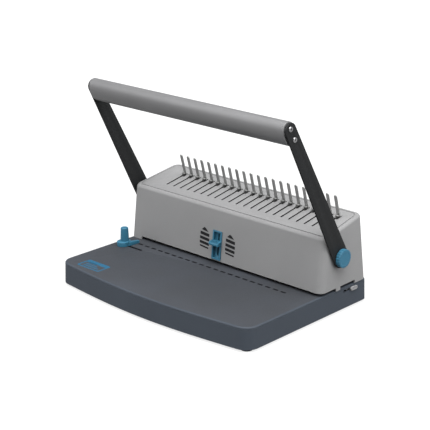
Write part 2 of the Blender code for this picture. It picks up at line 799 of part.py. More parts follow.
def make_bushes():
    inner = SHAFT_R + GAP
    outer = 9.0 * MM
    flange = 11.5 * MM
    profile = [
        (164.8 * MM, inner),
        (164.8 * MM, outer),
        (FRAME_X + GAP, outer),
        (FRAME_X + GAP, flange),
        (FRAME_X + 2.0 * MM, flange),
        (FRAME_X + 2.0 * MM, inner),
    ]
    for name, side in (("left_shaft_bush", -1.0), ("right_shaft_bush", 1.0)):
        finish(turned(name, profile, PIVOT, side), "bronze")


# ---------------------------------------------------------------- handle


def make_shaft():
    ends = [(side * SHAFT_HALF, *PIVOT.yz) for side in (-1.0, 1.0)]
    finish(rod("main_shaft", *ends, SHAFT_R), "bright_steel", HANDLE_JOINT)


def make_cams():
    """Eccentric discs whose lowest point rests on the punch beam's ears."""
    lobe = math.pi - HANDLE_TRAVEL / 2
    centre = (PIVOT.y + CAM_THROW * math.cos(lobe), PIVOT.z + CAM_THROW * math.sin(lobe))
    outlines = [circle(centre, CAM_R, 40), circle(PIVOT.yz, SHAFT_R + GAP, 32)]
    for name, x in (("left_cam", -CAM_X), ("right_cam", CAM_X)):
        finish(plate(name, outlines, CAM_THICKNESS, facing_x(x)), "dark_steel", HANDLE_JOINT)


def make_cranks():
    """Levers that carry the hook comb along the slots."""
    direction = SLOPE * math.sin(HANDLE_TRAVEL / 2) + NORMAL * math.cos(HANDLE_TRAVEL / 2)
    tip = PIVOT + direction * CRANK_R
    edge = capsule_outline(PIVOT.yz, 9.0 * MM, tip.yz, 4.4 * MM, 8)
    bore = circle(PIVOT.yz, SHAFT_R + GAP, 32)
    for name, side in (("left_opener_crank", -1.0), ("right_opener_crank", 1.0)):
        lever = plate(name, [edge, bore], CRANK_THICKNESS, facing_x(side * CRANK_X))
        start = (side * CRANK_X, tip.y, tip.z)
        end = (side * (CRANK_X + 5.6 * MM), tip.y, tip.z)
        join(lever, rod("pin", start, end, CRANK_PIN_R, 16))
        finish(lever, "dark_steel", HANDLE_JOINT)


def on_arm(u, v=0.0):
    """Y and Z of the point u along the arm from the pivot and v in front of its axis."""
    point = PIVOT + ARM_AXIS * u
    across = Vector((0.0, -ARM_AXIS.z, ARM_AXIS.y))
    return (point + across * v).yz


def make_arms():
    """Flat strips from the shaft to the grip, which toe in a little towards it."""
    edge = capsule_outline((0.0, 0.0), ARM_PIVOT_R, (0.0, ARM_END_U), ARM_END_R, 12)
    holes = [circle((0.0, 0.0), SHAFT_R + GAP, 32)]
    holes += [circle((0.0, u), 2.2 * MM, 16) for u in GRIP_SCREW_US]
    forward = Vector((0.0, ARM_AXIS.z, -ARM_AXIS.y))
    for name, side in (("left_arm", -1.0), ("right_arm", 1.0)):
        middle = PIVOT + Vector((side * (ARM_INNER_X + ARM_THICKNESS / 2), 0.0, 0.0))
        turn = Matrix((forward, ARM_AXIS, forward.cross(ARM_AXIS))).transposed().to_4x4()
        toe_in = Matrix.Rotation(-side * ARM_TOE_IN, 4, forward)
        matrix = Matrix.Translation(middle) @ toe_in @ turn
        finish(plate(name, [edge, *holes], ARM_THICKNESS, matrix), "arm_paint", HANDLE_JOINT)


def grip_oval(a, b, segments):
    """Section of the grip: an oval with its long axis on the arm."""
    angles = [2 * math.pi * k / segments for k in range(segments)]
    return [on_arm(HANDLE_LENGTH + a * math.cos(t), b * math.sin(t)) for t in angles]


def make_grip():
    """Aluminium extrusion with two screw channels, each held by a web across the hollow."""
    length = 2 * GRIP_HALF
    holes = [circle(on_arm(u), 2.0 * MM, 12) for u in GRIP_SCREW_US]
    grip = plate("grip_bar", [grip_oval(GRIP_A, GRIP_B, 40), *holes], length, facing_x(0.0))
    hollow = plate(
        "cutter",
        [grip_oval(GRIP_A - GRIP_WALL, GRIP_B - GRIP_WALL, 32)],
        length + 20 * MM,
        facing_x(0.0),
    )
    for u in GRIP_SCREW_US:
        boss = plate("boss", [circle(on_arm(u), 4.0 * MM, 16)], length + 40 * MM, facing_x(0.0))
        cut(hollow, boss)
        web = [on_arm(u - 1.0 * MM, -20 * MM), on_arm(u + 1.0 * MM, -20 * MM)]
        web += [on_arm(u + 1.0 * MM, 20 * MM), on_arm(u - 1.0 * MM, 20 * MM)]
        cut(hollow, plate("web", [web], length + 40 * MM, facing_x(0.0)))
    cut(grip, hollow)
    finish(grip, "grip_aluminium", HANDLE_JOINT)


def make_grip_screws():
    outer = GRIP_HALF + ARM_THICKNESS + SCREW_STAND
    profile = [
        (outer + 2.0 * MM, 0.0),
        (outer + 1.7 * MM, 2.2 * MM),
        (outer + GAP, 3.8 * MM),
        (outer + GAP, 1.7 * MM),
        (GRIP_HALF - 12.0 * MM, 1.7 * MM),
        (GRIP_HALF - 12.0 * MM, 0.0),
    ]
    for side_name, side in (("left", -1.0), ("right", 1.0)):
        for place, u in zip(("lower", "upper"), GRIP_SCREW_US):
            centre = Vector((0.0, *on_arm(u)))
            name = f"{side_name}_{place}_grip_screw"
            screw = turned(name, profile, centre, side, 16)
            finish(screw, "bright_steel", HANDLE_JOINT)


def make_pivot_caps():
    """Domed blue caps over the shaft's ends, each hollow behind to clear the shaft."""
    low = ARM_INNER_X + ARM_THICKNESS + GAP
    high = low + CAP_DEPTH
    profile = [
        (high, 0.0),
        (high, CAP_R - 2.0 * MM),
        (high - 0.6 * MM, CAP_R - 0.6 * MM),
        (high - 2.0 * MM, CAP_R),
        (low, CAP_R),
        (low, CAP_R - 2.0 * MM),
        (high - 2.0 * MM, CAP_R - 3.0 * MM),
        (high - 2.0 * MM, 0.0),
    ]
    for name, side in (("left_pivot_cap", -1.0), ("right_pivot_cap", 1.0)):
        finish(turned(name, profile, PIVOT, side, 40), "blue_plastic", HANDLE_JOINT)


# ---------------------------------------------------------------- controls


def make_edge_guide():
    """Paper edge stop: a knob on a foot, with a fence that runs back to the cover."""
    x = GUIDE_X
    y = EDGE_GUIDE_Y
    low = DECK_Z + GAP
    height = 7.0 * MM
    guide = plate(
        "edge_guide",
        [capsule_outline((x, y - 4.0 * MM), 9.0 * MM, (x, y), 9.0 * MM, 10)],
        height,
        Matrix.Translation((0.0, 0.0, low + height / 2)),
    )
    knob = rod("knob", (x, y, low + 1.0 * MM), (x, y, low + 28.0 * MM), 6.9 * MM, 24, 5.8 * MM)
    join(guide, knob)
    fence = box("fence", (-162.5 * MM, y, low), (-155.5 * MM, 13.0 * MM, low + height - 0.5 * MM))
    join(guide, fence)
    stem = rod("stem", (x, y, 30.0 * MM), (x, y, low + 1.0 * MM), 1.7 * MM, 12)
    join(guide, stem)
    finish(guide, "blue_plastic")
    clip = plate(
        "edge_guide_clip",
        [circle((x, y), 6.0 * MM, 24), circle((x, y), 2.0 * MM, 12)],
        1.6 * MM,
        Matrix.Translation((0.0, 0.0, DECK_Z - BASE_WALL - GAP - 0.8 * MM)),
    )
    finish(clip, "selector_plastic")


def make_comb_size_control():
    """A blue channel set in the front wall, and the thumb tab that slides along it."""
    middle = sum(BEZEL_Z) / 2
    frame = front_frame(middle)
    reach = (BEZEL_Z[1] - BEZEL_Z[0]) / 2
    outer = CHANNEL_HALF - GAP
    outer_reach = (CHANNEL_Z[1] - CHANNEL_Z[0]) / 2 - GAP
    inner = outer - CHANNEL_WALL
    inner_reach = outer_reach - CHANNEL_WALL
    floor = -CHANNEL_DEPTH + CHANNEL_WALL
    slot_half = CHANNEL_SLOT_HALF
    bezel = box("slider_bezel", (-BEZEL_HALF, -reach, GAP), (BEZEL_HALF, reach, BEZEL_LIP), frame)
    join(bezel, box("well", (-outer, -outer_reach, -CHANNEL_DEPTH), (outer, outer_reach, 1 * MM), frame))
    cut(bezel, box("recess", (-inner, -inner_reach, floor), (inner, inner_reach, 10 * MM), frame))
    slot_reach = inner_reach - 3.0 * MM
    cut(bezel, box("slot", (-slot_half, -slot_reach, -10 * MM), (slot_half, slot_reach, 0.0), frame))
    finish(bezel, "blue_plastic")
    low, high = TAB_REACH
    shoe_half = inner - GAP
    neck_half = slot_half - GAP
    near = BEZEL_LIP + 0.5 * MM
    tab = box("comb_size_slider", (-BEZEL_HALF, low, near), (BEZEL_HALF, high, TAB_DEPTH), frame)
    shoe_low = (-shoe_half, low + 0.5 * MM, floor + GAP)
    shoe_high = (shoe_half, high - 0.5 * MM, near + 1.1 * MM)
    join(tab, box("shoe", shoe_low, shoe_high, frame))
    join(tab, box("neck", (-neck_half, low + 1 * MM, -5.6 * MM), (neck_half, high - 1 * MM, 0.0), frame))
    join(tab, box("keeper", (-5 * MM, low, -6.2 * MM), (5 * MM, high, -CHANNEL_DEPTH - GAP), frame))
    finish(tab, "blue_plastic")


def make_margin_control():
    """A grey tab on the right side sets how deep the paper goes, through the stop bar."""
    half = 8.0 * MM
    wall_x = BASE_HALF - 0.5 * MM
    inside_x = BASE_HALF - BASE_WALL - 1.2 * MM
    rear = (SELECTOR_Y + 4.5 * MM, SELECTOR_Z)
    button = capsule_outline((SELECTOR_Y - 4.5 * MM, SELECTOR_Z), SELECTOR_R, rear, SELECTOR_R, 8)
    selector = plate("margin_selector", [button], 2.4 * MM, facing_x(wall_x + GAP + 1.2 * MM))
    neck_half = SELECTOR_SLOT_HALF - 0.5 * MM
    neck = box(
        "neck",
        (inside_x - 1.5 * MM, SELECTOR_Y - half + 2.0 * MM, SELECTOR_Z - neck_half),
        (wall_x + 1.5 * MM, SELECTOR_Y + half - 2.0 * MM, SELECTOR_Z + neck_half),
    )
    join(selector, neck)
    keeper = box(
        "keeper",
        (inside_x - 2.2 * MM, SELECTOR_Y - half - 3.0 * MM, SELECTOR_Z - SELECTOR_R),
        (inside_x, SELECTOR_Y + half + 1.0 * MM, SELECTOR_Z + SELECTOR_R),
    )
    join(selector, keeper)
    finish(selector, "selector_plastic")
    stop = box("depth_stop", (-156.0 * MM, 52.0 * MM, DECK_Z + GAP), (178.0 * MM, 56.0 * MM, 40.6 * MM))
    finish(stop, "dark_steel")


def main():
    make_base()
    make_chip_tray()
    make_cover()
    make_opener()
    make_dies()
    make_punch_beam()
    make_return_springs()
    make_side_frames()
    make_bushes()
    make_shaft()
    make_cams()
    make_cranks()
    make_arms()
    make_grip()
    make_grip_screws()
    make_pivot_caps()
    make_edge_guide()
    make_comb_size_control()
    make_margin_control()


main()
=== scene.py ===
"""Looks of the comb binding machine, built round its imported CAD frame.

Lengths are in metres. X runs along the row of punches, -Y is the side the paper goes in from, and
+Z is up. "Up the slope" is the direction that runs rearwards up the cover's sloping top.
"""

import logging
import math
from collections.abc import Callable, Iterator
from contextlib import contextmanager
from dataclasses import dataclass
from enum import Enum

import bmesh
import bpy
from mathutils import Matrix, Vector


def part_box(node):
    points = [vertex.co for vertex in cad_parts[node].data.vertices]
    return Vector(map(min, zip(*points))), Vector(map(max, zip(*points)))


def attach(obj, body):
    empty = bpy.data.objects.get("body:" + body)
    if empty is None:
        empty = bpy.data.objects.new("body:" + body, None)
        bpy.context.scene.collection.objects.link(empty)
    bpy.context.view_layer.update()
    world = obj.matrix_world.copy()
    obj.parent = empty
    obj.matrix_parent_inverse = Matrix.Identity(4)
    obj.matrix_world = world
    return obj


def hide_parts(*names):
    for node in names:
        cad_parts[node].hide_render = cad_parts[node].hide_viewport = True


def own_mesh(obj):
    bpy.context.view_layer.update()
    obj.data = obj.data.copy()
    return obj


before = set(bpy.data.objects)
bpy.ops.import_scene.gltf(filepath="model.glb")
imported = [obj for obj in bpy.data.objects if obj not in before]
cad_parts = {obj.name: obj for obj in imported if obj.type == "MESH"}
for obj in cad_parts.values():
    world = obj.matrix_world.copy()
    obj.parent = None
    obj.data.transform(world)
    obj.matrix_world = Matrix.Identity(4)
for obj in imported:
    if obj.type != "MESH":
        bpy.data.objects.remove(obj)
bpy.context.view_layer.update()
bpy.ops.object.select_all(action="DESELECT")

log = logging.getLogger("comb_binding_machine")

Piece = bpy.types.Object
Edge = bmesh.types.BMEdge
Face = bmesh.types.BMFace
Socket = bpy.types.NodeSocket
Colour = tuple[float, float, float]

MM = 0.001
TOUCH = 0.01 * MM  # points closer than this are the same place
PAST = 5 * MM  # how far a cutter reaches past the faces that it cuts
GAP = 0.3 * MM  # the clearance between pieces that touch
MOSTLY = 0.9  # a unit normal with this much of an axis looks along it
FLAT = 0.999  # and with this much it looks straight along it
CORNER = math.radians(30.0)  # faces that meet at more than this make a corner
ROUND_END = 0.98  # how much of a half width its corners' rounding takes, for a round end
PITCH = 14.2875 * MM
PUNCH_XS = [-149.4 * MM + PITCH * k for k in range(21)]
TINE_XS = [-140.1 * MM + PITCH * k for k in range(22)]

DECK_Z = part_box("base_tray")[1].z
TOP_FRONT = Vector((0.0, 35.0, 119.0)) * MM
TOP_REAR = Vector((0.0, 124.0, 134.9)) * MM
SLOPE = (TOP_REAR - TOP_FRONT).normalized()
NORMAL = Vector((0.0, -SLOPE.z, SLOPE.y))
ON_TOP = Matrix.Translation(TOP_FRONT) @ Matrix((Vector((1, 0, 0)), SLOPE, NORMAL)).transposed().to_4x4()

PIVOT = Vector((0.0, 66.0, 86.0)) * MM
HANDLE_LEAN = math.radians(28.2)
ARM_AXIS = Vector((0.0, -math.sin(HANDLE_LEAN), math.cos(HANDLE_LEAN)))
GRIP_U = 222.0 * MM  # along the arms, from the pivot to the grip's centre


# ---------------------------------------------------------------- bench: the modelling moves


class Part(Enum):
    """What a pick selects in edit mode."""

    VERT = "verts"
    EDGE = "edges"
    FACE = "faces"


class Join(Enum):
    """How two closed shapes are combined."""

    WELD = "UNION"
    CARVE = "DIFFERENCE"


def select_only(*pieces: Piece) -> None:
    """Leaves only these pieces selected, with the first one active.

    Args:
        pieces: The pieces to select.
    """
    bpy.ops.object.select_all(action="DESELECT")
    for piece in pieces:
        piece.select_set(True)
    bpy.context.view_layer.objects.active = pieces[0]


@contextmanager
def editing(piece: Piece) -> Iterator[None]:
    """Opens a piece in edit mode and leaves it again afterwards.

    Args:
        piece: The piece to edit.

    Yields:
        Nothing, while the piece is in edit mode.
    """
    select_only(piece)
    bpy.ops.object.mode_set(mode="EDIT")
    yield
    bpy.ops.object.mode_set(mode="OBJECT")


def pick(piece: Piece, part: Part, test: Callable[..., bool]) -> None:
    """Selects the vertices, edges or faces that pass a test, and nothing else.

    Args:
        piece: The piece that is in edit mode.
        part: Which kind of element to select.
        test: Says of one element whether to select it.
    """
    bpy.ops.mesh.select_mode(type=part.name)
    bpy.ops.mesh.select_all(action="DESELECT")
    mesh = bmesh.from_edit_mesh(piece.data)
    for element in getattr(mesh, part.value):
        if test(element):
            element.select_set(True)
    mesh.select_flush_mode()
    bmesh.update_edit_mesh(piece.data)


def middle(element: Edge | Face) -> Vector:
    """Gives the mean of an edge's or a face's corners."""
    return sum((vert.co for vert in element.verts), Vector()) / len(element.verts)


def along(edge: Edge, axis: int, least: float = MOSTLY) -> bool:
    """Says whether an edge runs along an axis.

    Args:
        edge: The edge to look at.
        axis: 0, 1 or 2 for X, Y or Z.
        least: How much of the edge's length has to lie along the axis, from 0 to 1.

    Returns:
        True if it does.
    """
    run = edge.verts[1].co - edge.verts[0].co
    return abs(run[axis]) > least * run.length


def is_corner(edge: Edge) -> bool:
    """Says whether two faces meet at an edge at more than the corner angle."""
    return len(edge.link_faces) == 2 and edge.calc_face_angle() > CORNER


def at_height(edge: Edge, z: float) -> bool:
    """Says whether both ends of an edge are at a height."""
    return all(abs(vert.co.z - z) < TOUCH for vert in edge.verts)


def on_slope(edge: Edge, near: float = TOUCH) -> bool:
    """Says whether both ends of an edge lie in the cover's sloping top, or as near it as given."""
    return all(abs((vert.co - TOP_FRONT).dot(NORMAL)) < near for vert in edge.verts)


def borders(edge: Edge, test: Callable[[Face], bool]) -> bool:
    """Says whether one of an edge's faces passes a test."""
    return any(test(face) for face in edge.link_faces)


def settle(piece: Piece, name: str) -> Piece:
    """Names a piece and applies its place, turn and size to its mesh.

    Args:
        piece: The piece to settle.
        name: Its new name.

    Returns:
        The same piece.
    """
    piece.name = name
    piece.data.name = name
    select_only(piece)
    bpy.ops.object.transform_apply(location=True, rotation=True, scale=True)
    return piece


def place(piece: Piece, matrix: Matrix) -> Piece:
    """Carries a piece to its place, turned as the matrix says, with the place kept in its mesh."""
    piece.matrix_world = matrix @ piece.matrix_world
    return settle(piece, piece.name)


def facing(point: Vector, direction: tuple[float, float, float] | Vector) -> Matrix:
    """Makes the matrix that carries the origin to a point and local Z to a direction.

    Args:
        point: Where the origin goes.
        direction: Where local Z points afterwards.

    Returns:
        The matrix.
    """
    turn = Vector(direction).to_track_quat("Z", "Y").to_matrix().to_4x4()
    return Matrix.Translation(point) @ turn


def block(name: str, low: tuple | Vector, high: tuple | Vector) -> Piece:
    """Adds a block between two corners, as a start for shaping.

    Args:
        name: The piece's name.
        low: Its lowest corner.
        high: Its highest corner.

    Returns:
        The new piece.
    """
    low = Vector(low)
    high = Vector(high)
    bpy.ops.mesh.primitive_cube_add(size=1.0, location=(low + high) / 2, scale=high - low)
    return settle(bpy.context.active_object, name)


def drum(
    name: str, radius: float, low: float, high: float, sides: int = 32, end_radius: float = 0.0
) -> Piece:
    """Adds a round bar or a cone on the Z axis, as a start for shaping.

    Args:
        name: The piece's name.
        radius: Radius at its low end.
        low: Z of its low end.
        high: Z of its high end.
        sides: How many flat sides make its round.
        end_radius: Radius at its high end, or 0 for the same radius.

    Returns:
        The new piece.
    """
    bpy.ops.mesh.primitive_cone_add(
        vertices=sides,
        radius1=radius,
        radius2=end_radius or radius,
        depth=high - low,
        location=(0.0, 0.0, (low + high) / 2),
    )
    return settle(bpy.context.active_object, name)


def combine(piece: Piece, other: Piece, how: Join) -> Piece:
    """Welds another piece on, or carves its shape out, and removes the other piece.

    Args:
        piece: The piece that stays.
        other: The piece that is used up.
        how: Whether it is added or taken away.

    Returns:
        The first piece.
    """
    select_only(piece)
    boolean = piece.modifiers.new("combine", "BOOLEAN")
    boolean.object = other
    boolean.operation = how.value
    boolean.solver = "EXACT"
    bpy.ops.object.modifier_apply(modifier=boolean.name)
    bpy.data.objects.remove(other, do_unlink=True)
    return piece


def copied(piece: Piece, name: str, offset: tuple | Vector = (0.0, 0.0, 0.0)) -> Piece:
    """Copies a piece, with a mesh of its own.

    Args:
        piece: The piece to copy.
        name: The copy's name.
        offset: How far the copy stands from it.

    Returns:
        The copy.
    """
    select_only(piece)
    bpy.ops.object.duplicate(linked=False)
    copy = bpy.context.active_object
    copy.location = offset
    return settle(copy, name)


def mirrored(piece: Piece, name: str) -> Piece:
    """Copies a piece to the machine's other end, with its faces turned outwards again.

    Args:
        piece: The piece to mirror.
        name: The copy's name.

    Returns:
        The copy.
    """
    copy = copied(piece, name)
    copy.scale.x = -1.0
    settle(copy, name)
    turn_outwards(copy)
    return copy


def turn_outwards(piece: Piece) -> None:
    """Merges doubled points and makes every face of a closed piece point outwards.

    Args:
        piece: The closed piece.
    """
    with editing(piece):
        bpy.ops.mesh.select_all(action="SELECT")
        bpy.ops.mesh.remove_doubles(threshold=0.001 * MM)
        bpy.ops.mesh.normals_make_consistent(inside=False)


def merged(name: str, pieces: list[Piece]) -> Piece:
    """Makes several separate pieces one.

    Args:
        name: The new piece's name.
        pieces: The pieces, the first of which takes in the others.

    Returns:
        The new piece.
    """
    select_only(*pieces)
    bpy.ops.object.join()
    return settle(pieces[0], name)


def row_of(piece: Piece, xs: list[float]) -> Piece:
    """Repeats a piece modelled at x = 0 at each x of a row, as one piece.

    Args:
        piece: The piece to repeat, which is used up.
        xs: Where the copies stand.

    Returns:
        The row.
    """
    name = piece.name
    copies = [copied(piece, f"{name}_copy", (x, 0.0, 0.0)) for x in xs]
    bpy.data.objects.remove(piece, do_unlink=True)
    return merged(name, copies)


def round_edges(piece: Piece, radius: float, steps: int, test: Callable[..., bool]) -> Piece:
    """Rounds the edges that pass a test.

    Args:
        piece: The piece to work on.
        radius: How far from the edge the rounding starts.
        steps: How many flats make it.
        test: Says of one edge whether it is rounded.

    Returns:
        The same piece.
    """
    with editing(piece):
        pick(piece, Part.EDGE, test)
        bpy.ops.mesh.bevel(offset=radius, segments=steps, affect="EDGES")
    return piece


def soften(piece: Piece, radius: float, steps: int = 2) -> Piece:
    """Takes the sharpness off every corner edge of a piece, as moulding and tumbling do.

    Args:
        piece: The piece to work on.
        radius: How far from each edge the rounding starts.
        steps: How many flats make it.

    Returns:
        The same piece.
    """
    return round_edges(piece, radius, steps, is_corner)


def move_points(piece: Piece, test: Callable[..., bool], shift: tuple | Vector) -> None:
    """Moves the points that pass a test.

    Args:
        piece: The piece that is in edit mode.
        test: Says of one vertex whether it moves.
        shift: How far it moves.
    """
    pick(piece, Part.VERT, test)
    bpy.ops.transform.translate(value=shift)


def with_wall(piece: Piece, wall: float) -> Piece:
    """Gives an open shell a wall on its inner side.

    Args:
        piece: The shell.
        wall: The wall's thickness.

    Returns:
        The same piece.
    """
    select_only(piece)
    solidify = piece.modifiers.new("wall", "SOLIDIFY")
    solidify.thickness = wall
    solidify.offset = -1.0
    solidify.use_even_offset = True
    bpy.ops.object.modifier_apply(modifier=solidify.name)
    return piece


def level_rim(piece: Piece, height: float) -> None:
    """Brings the lower rim of a walled shell to one height.

    Args:
        piece: The shell.
        height: The z of its rim.
    """
    with editing(piece):
        pick(piece, Part.VERT, lambda vert: vert.co.z < height + 0.9 * MM)
        bpy.ops.transform.resize(value=(1.0, 1.0, 0.0), center_override=(0.0, 0.0, height))


def cross_recess(size: float, depth: float, top: float) -> Piece:
    """Makes the cutter for a cross-head screw's recess, on the Z axis.

    Args:
        size: Length of each arm of the cross, end to end.
        depth: Depth of the recess.
        top: Z of the surface that it is cut into.

    Returns:
        The cutter.
    """
    arms = []
    for name, (x, y) in (("recess", (size, size / 4)), ("recess_across", (size / 4, size))):
        arm = block(name, (-x / 2, -y / 2, top - depth), (x / 2, y / 2, top + depth))
        with editing(arm):
            pick(arm, Part.FACE, lambda face: face.normal.z < -MOSTLY)
            bpy.ops.transform.resize(value=(0.5, 0.5, 1.0), center_override=(0.0, 0.0, top - depth))
        arms.append(arm)
    return combine(arms[0], arms[1], Join.WELD)


def pan_head_screw(name: str, radius: float, height: float, shank: float, length: float) -> Piece:
    """Models a cross-head screw on the Z axis, with the seat of its head at z = 0.

    Args:
        name: The piece's name.
        radius: Radius of its head.
        height: Height of its head.
        shank: Radius of its shank.
        length: Length of its shank.

    Returns:
        The screw.
    """
    screw = drum(name, radius, 0.0, height, 32)
    round_edges(screw, height * 0.7, 5, lambda edge: middle(edge).z > height - TOUCH)
    combine(screw, drum("shank", shank, -length, height / 2, 20), Join.WELD)
    combine(screw, cross_recess(radius * 1.15, height * 0.75, height), Join.CARVE)
    return screw


# ---------------------------------------------------------------- finishes


class Sheet:
    """The node tree of one material, with short calls for the nodes that the finishes share."""

    def __init__(self, name: str) -> None:
        """Starts a material with a Principled BSDF.

        Args:
            name: The material's name.
        """
        self.material = bpy.data.materials.new(name)
        self.material.use_nodes = True
        self.nodes = self.material.node_tree.nodes
        self.links = self.material.node_tree.links
        self.shader = self.nodes["Principled BSDF"]
        self.place = self.nodes.new("ShaderNodeTexCoord").outputs["Object"]

    def add(self, kind: str, inputs: dict[str | int, object], **settings: object) -> bpy.types.Node:
        """Adds a node.

        Args:
            kind: The node's type.
            inputs: A value or another node's socket for each named input.
            settings: The node's own properties.

        Returns:
            The node.
        """
        node = self.nodes.new(kind)
        for key, value in settings.items():
            setattr(node, key, value)
        for key, value in inputs.items():
            self.feed(node.inputs[key], value)
        return node

    def feed(self, socket: Socket, value: object) -> None:
        """Links a socket to an input, or sets the input's own value.

        Args:
            socket: The input to feed.
            value: Another node's socket, or a value.
        """
        if isinstance(value, bpy.types.NodeSocket):
            self.links.new(value, socket)
        else:
            socket.default_value = value

    def noise(self, size: float, detail: float = 3.0, stretch: Colour = (1.0, 1.0, 1.0)) -> Socket:
        """Adds a noise pattern.

        Args:
            size: Size of its features.
            detail: How many finer layers it has.
            stretch: How many times longer the features are along X, Y and Z.

        Returns:
            A value near 0.5 that goes from 0 to 1.
        """
        scale = [1.0 / (size * length) for length in stretch]
        where = self.add("ShaderNodeMapping", {"Vector": self.place, "Scale": scale})
        inputs = {"Vector": where.outputs[0], "Scale": 1.0, "Detail": detail}
        return self.add("ShaderNodeTexNoise", inputs).outputs[0]

    def cells(self, size: float) -> Socket:
        """Adds a pattern of pebbles of this size, 0 in their middles."""
        inputs = {"Vector": self.place, "Scale": 1.0 / size}
        return self.add("ShaderNodeTexVoronoi", inputs, feature="SMOOTH_F1").outputs[0]

    def between(
        self, value: Socket, low: float, high: float, start: float = 0.3, end: float = 0.7
    ) -> Socket:
        """Stretches a pattern over a range.

        Args:
            value: The pattern.
            low: What it gives at the start.
            high: What it gives at the end.
            start: The pattern's value at the start.
            end: The pattern's value at the end.

        Returns:
            The new value, clamped to its range.
        """
        inputs = {"Value": value, "From Min": start, "From Max": end, "To Min": low, "To Max": high}
        return self.add("ShaderNodeMapRange", inputs).outputs[0]

    def blend(self, share: Socket, first: Colour | Socket, second: Colour | Socket) -> Socket:
        """Mixes two colours.

        Args:
            share: How much of the second one there is.
            first: The first colour.
            second: The second colour.

        Returns:
            The mixed colour.
        """
        node = self.add("ShaderNodeMix", {0: share}, data_type="RGBA")
        for socket, colour in ((node.inputs[6], first), (node.inputs[7], second)):
            self.feed(socket, colour if isinstance(colour, bpy.types.NodeSocket) else (*colour, 1.0))
        return node.outputs[2]

    def times(self, first: Socket, second: Socket | float) -> Socket:
        """Multiplies two values."""
        return self.add("ShaderNodeMath", {0: first, 1: second}, operation="MULTIPLY").outputs[0]

    def worn_edges(self, radius: float) -> Socket:
        """Finds the edges.

        Args:
            radius: How far from an edge its wear reaches.

        Returns:
            1 at an edge and 0 on a flat, broken up by noise.
        """
        rounded = self.add("ShaderNodeBevel", {"Radius": radius}, samples=4)
        true = self.add("ShaderNodeNewGeometry", {})
        inputs = {0: rounded.outputs[0], 1: true.outputs["Normal"]}
        dot = self.add("ShaderNodeVectorMath", inputs, operation="DOT_PRODUCT").outputs["Value"]
        edge = self.between(dot, 1.0, 0.0, 0.86, 0.99)
        return self.times(edge, self.between(self.noise(4 * MM, 5.0), 0.0, 1.0, 0.45, 0.65))

    def recesses(self, reach: float) -> Socket:
        """Gives 1 in a piece's own recesses no wider than reach, and 0 in the open, from ambient
        occlusion: the mask that paints shade and dust into them.
        """
        node = self.add("ShaderNodeAmbientOcclusion", {"Distance": reach}, samples=6, only_local=True)
        return self.between(node.outputs["AO"], 1.0, 0.0, 0.25, 0.95)

    def relief(self, *layers: tuple[Socket, float]) -> None:
        """Gives the surface its texture.

        Args:
            layers: Each a height pattern from 0 to 1 and the height that 1 stands for.
        """
        normal = None
        for height, distance in layers:
            bump = self.add("ShaderNodeBump", {"Height": height, "Distance": distance, "Strength": 1.0})
            if normal:
                self.feed(bump.inputs["Normal"], normal)
            normal = bump.outputs[0]
        self.feed(self.shader.inputs["Normal"], normal)

    def surface(self, **inputs: object) -> None:
        """Feeds the shader's inputs, written with underscores for the spaces in their names."""
        for key, value in inputs.items():
            self.feed(self.shader.inputs[key.replace("_", " ")], value)


@dataclass(frozen=True)
class Finish:
    """A surface finish. Its material is made when a piece first needs it."""

    name: str
    slot: str

    def paint(self, sheet: Sheet) -> None:
        """Builds the finish's nodes."""
        raise NotImplementedError

    def material(self) -> bpy.types.Material:
        """Gives the finish's material.

        Returns:
            The one material that all its pieces share.
        """
        found = bpy.data.materials.get(self.name)
        if found:
            return found
        sheet = Sheet(self.name)
        self.paint(sheet)
        return sheet.material


@dataclass(frozen=True)
class MouldedPlastic(Finish):
    """Injection-moulded plastic with a spark-eroded texture."""

    colour: Colour
    shade: Colour
    # colour of the random specks and of the recess tint; darker than the plastic it is painted shade,
    # lighter it is dust
    dust_and_shade: Colour
    roughness: float
    gloss: float
    grain: float
    relief: float

    def paint(self, sheet: Sheet) -> None:
        """Builds slow clouds of tone, painted shade and dust in the recesses, and the texture's pebbles.

        Args:
            sheet: The node tree to build them in.
        """
        clouds = sheet.between(sheet.noise(70 * MM, 4.0), 0.0, 1.0)
        speckle = sheet.noise(self.grain * 1.7, 2.0)
        tone = sheet.blend(clouds, self.colour, self.shade)
        tone = sheet.blend(sheet.between(speckle, 0.0, 0.12), tone, self.dust_and_shade)
        # Painted shade: an occlusion mask tints the recesses darker on the cover, blue and selector
        # mouldings; on the dark mouldings the tint is lighter, as dust.
        tone = sheet.blend(sheet.times(sheet.recesses(6 * MM), 0.45), tone, self.dust_and_shade)
        rough = sheet.between(speckle, self.roughness - 0.05, self.roughness + 0.07)
        sheet.surface(Base_Color=tone, Roughness=rough, Specular_IOR_Level=self.gloss)
        ripple = sheet.noise(25 * MM, 1.0)
        sheet.relief((sheet.cells(self.grain), self.relief), (ripple, self.relief * 1.5))


@dataclass(frozen=True)
class PaintedSteel(Finish):
    """Powder coat on steel: orange peel, and bright metal showing at its most handled edges."""

    colour: Colour
    roughness: float

    def paint(self, sheet: Sheet) -> None:
        """Builds the coat's peel and specks, and the wear on its edges.

        Args:
            sheet: The node tree to build them in.
        """
        peel = sheet.noise(0.9 * MM, 2.0)
        specks = sheet.between(sheet.noise(2.2 * MM, 4.0), 0.0, 1.0, 0.5, 0.72)
        wear = sheet.worn_edges(0.7 * MM)
        lighter = tuple(channel * 1.6 + 0.004 for channel in self.colour)
        tone = sheet.blend(sheet.times(specks, 0.5), self.colour, lighter)
        tone = sheet.blend(sheet.times(wear, 0.5), tone, (0.30, 0.30, 0.31))
        rough = sheet.between(sheet.noise(18 * MM, 4.0), self.roughness - 0.05, self.roughness + 0.07)
        metal = sheet.times(wear, 0.6)
        sheet.surface(Base_Color=tone, Roughness=rough, Metallic=metal, Specular_IOR_Level=0.16)
        sheet.relief((peel, 0.03 * MM))


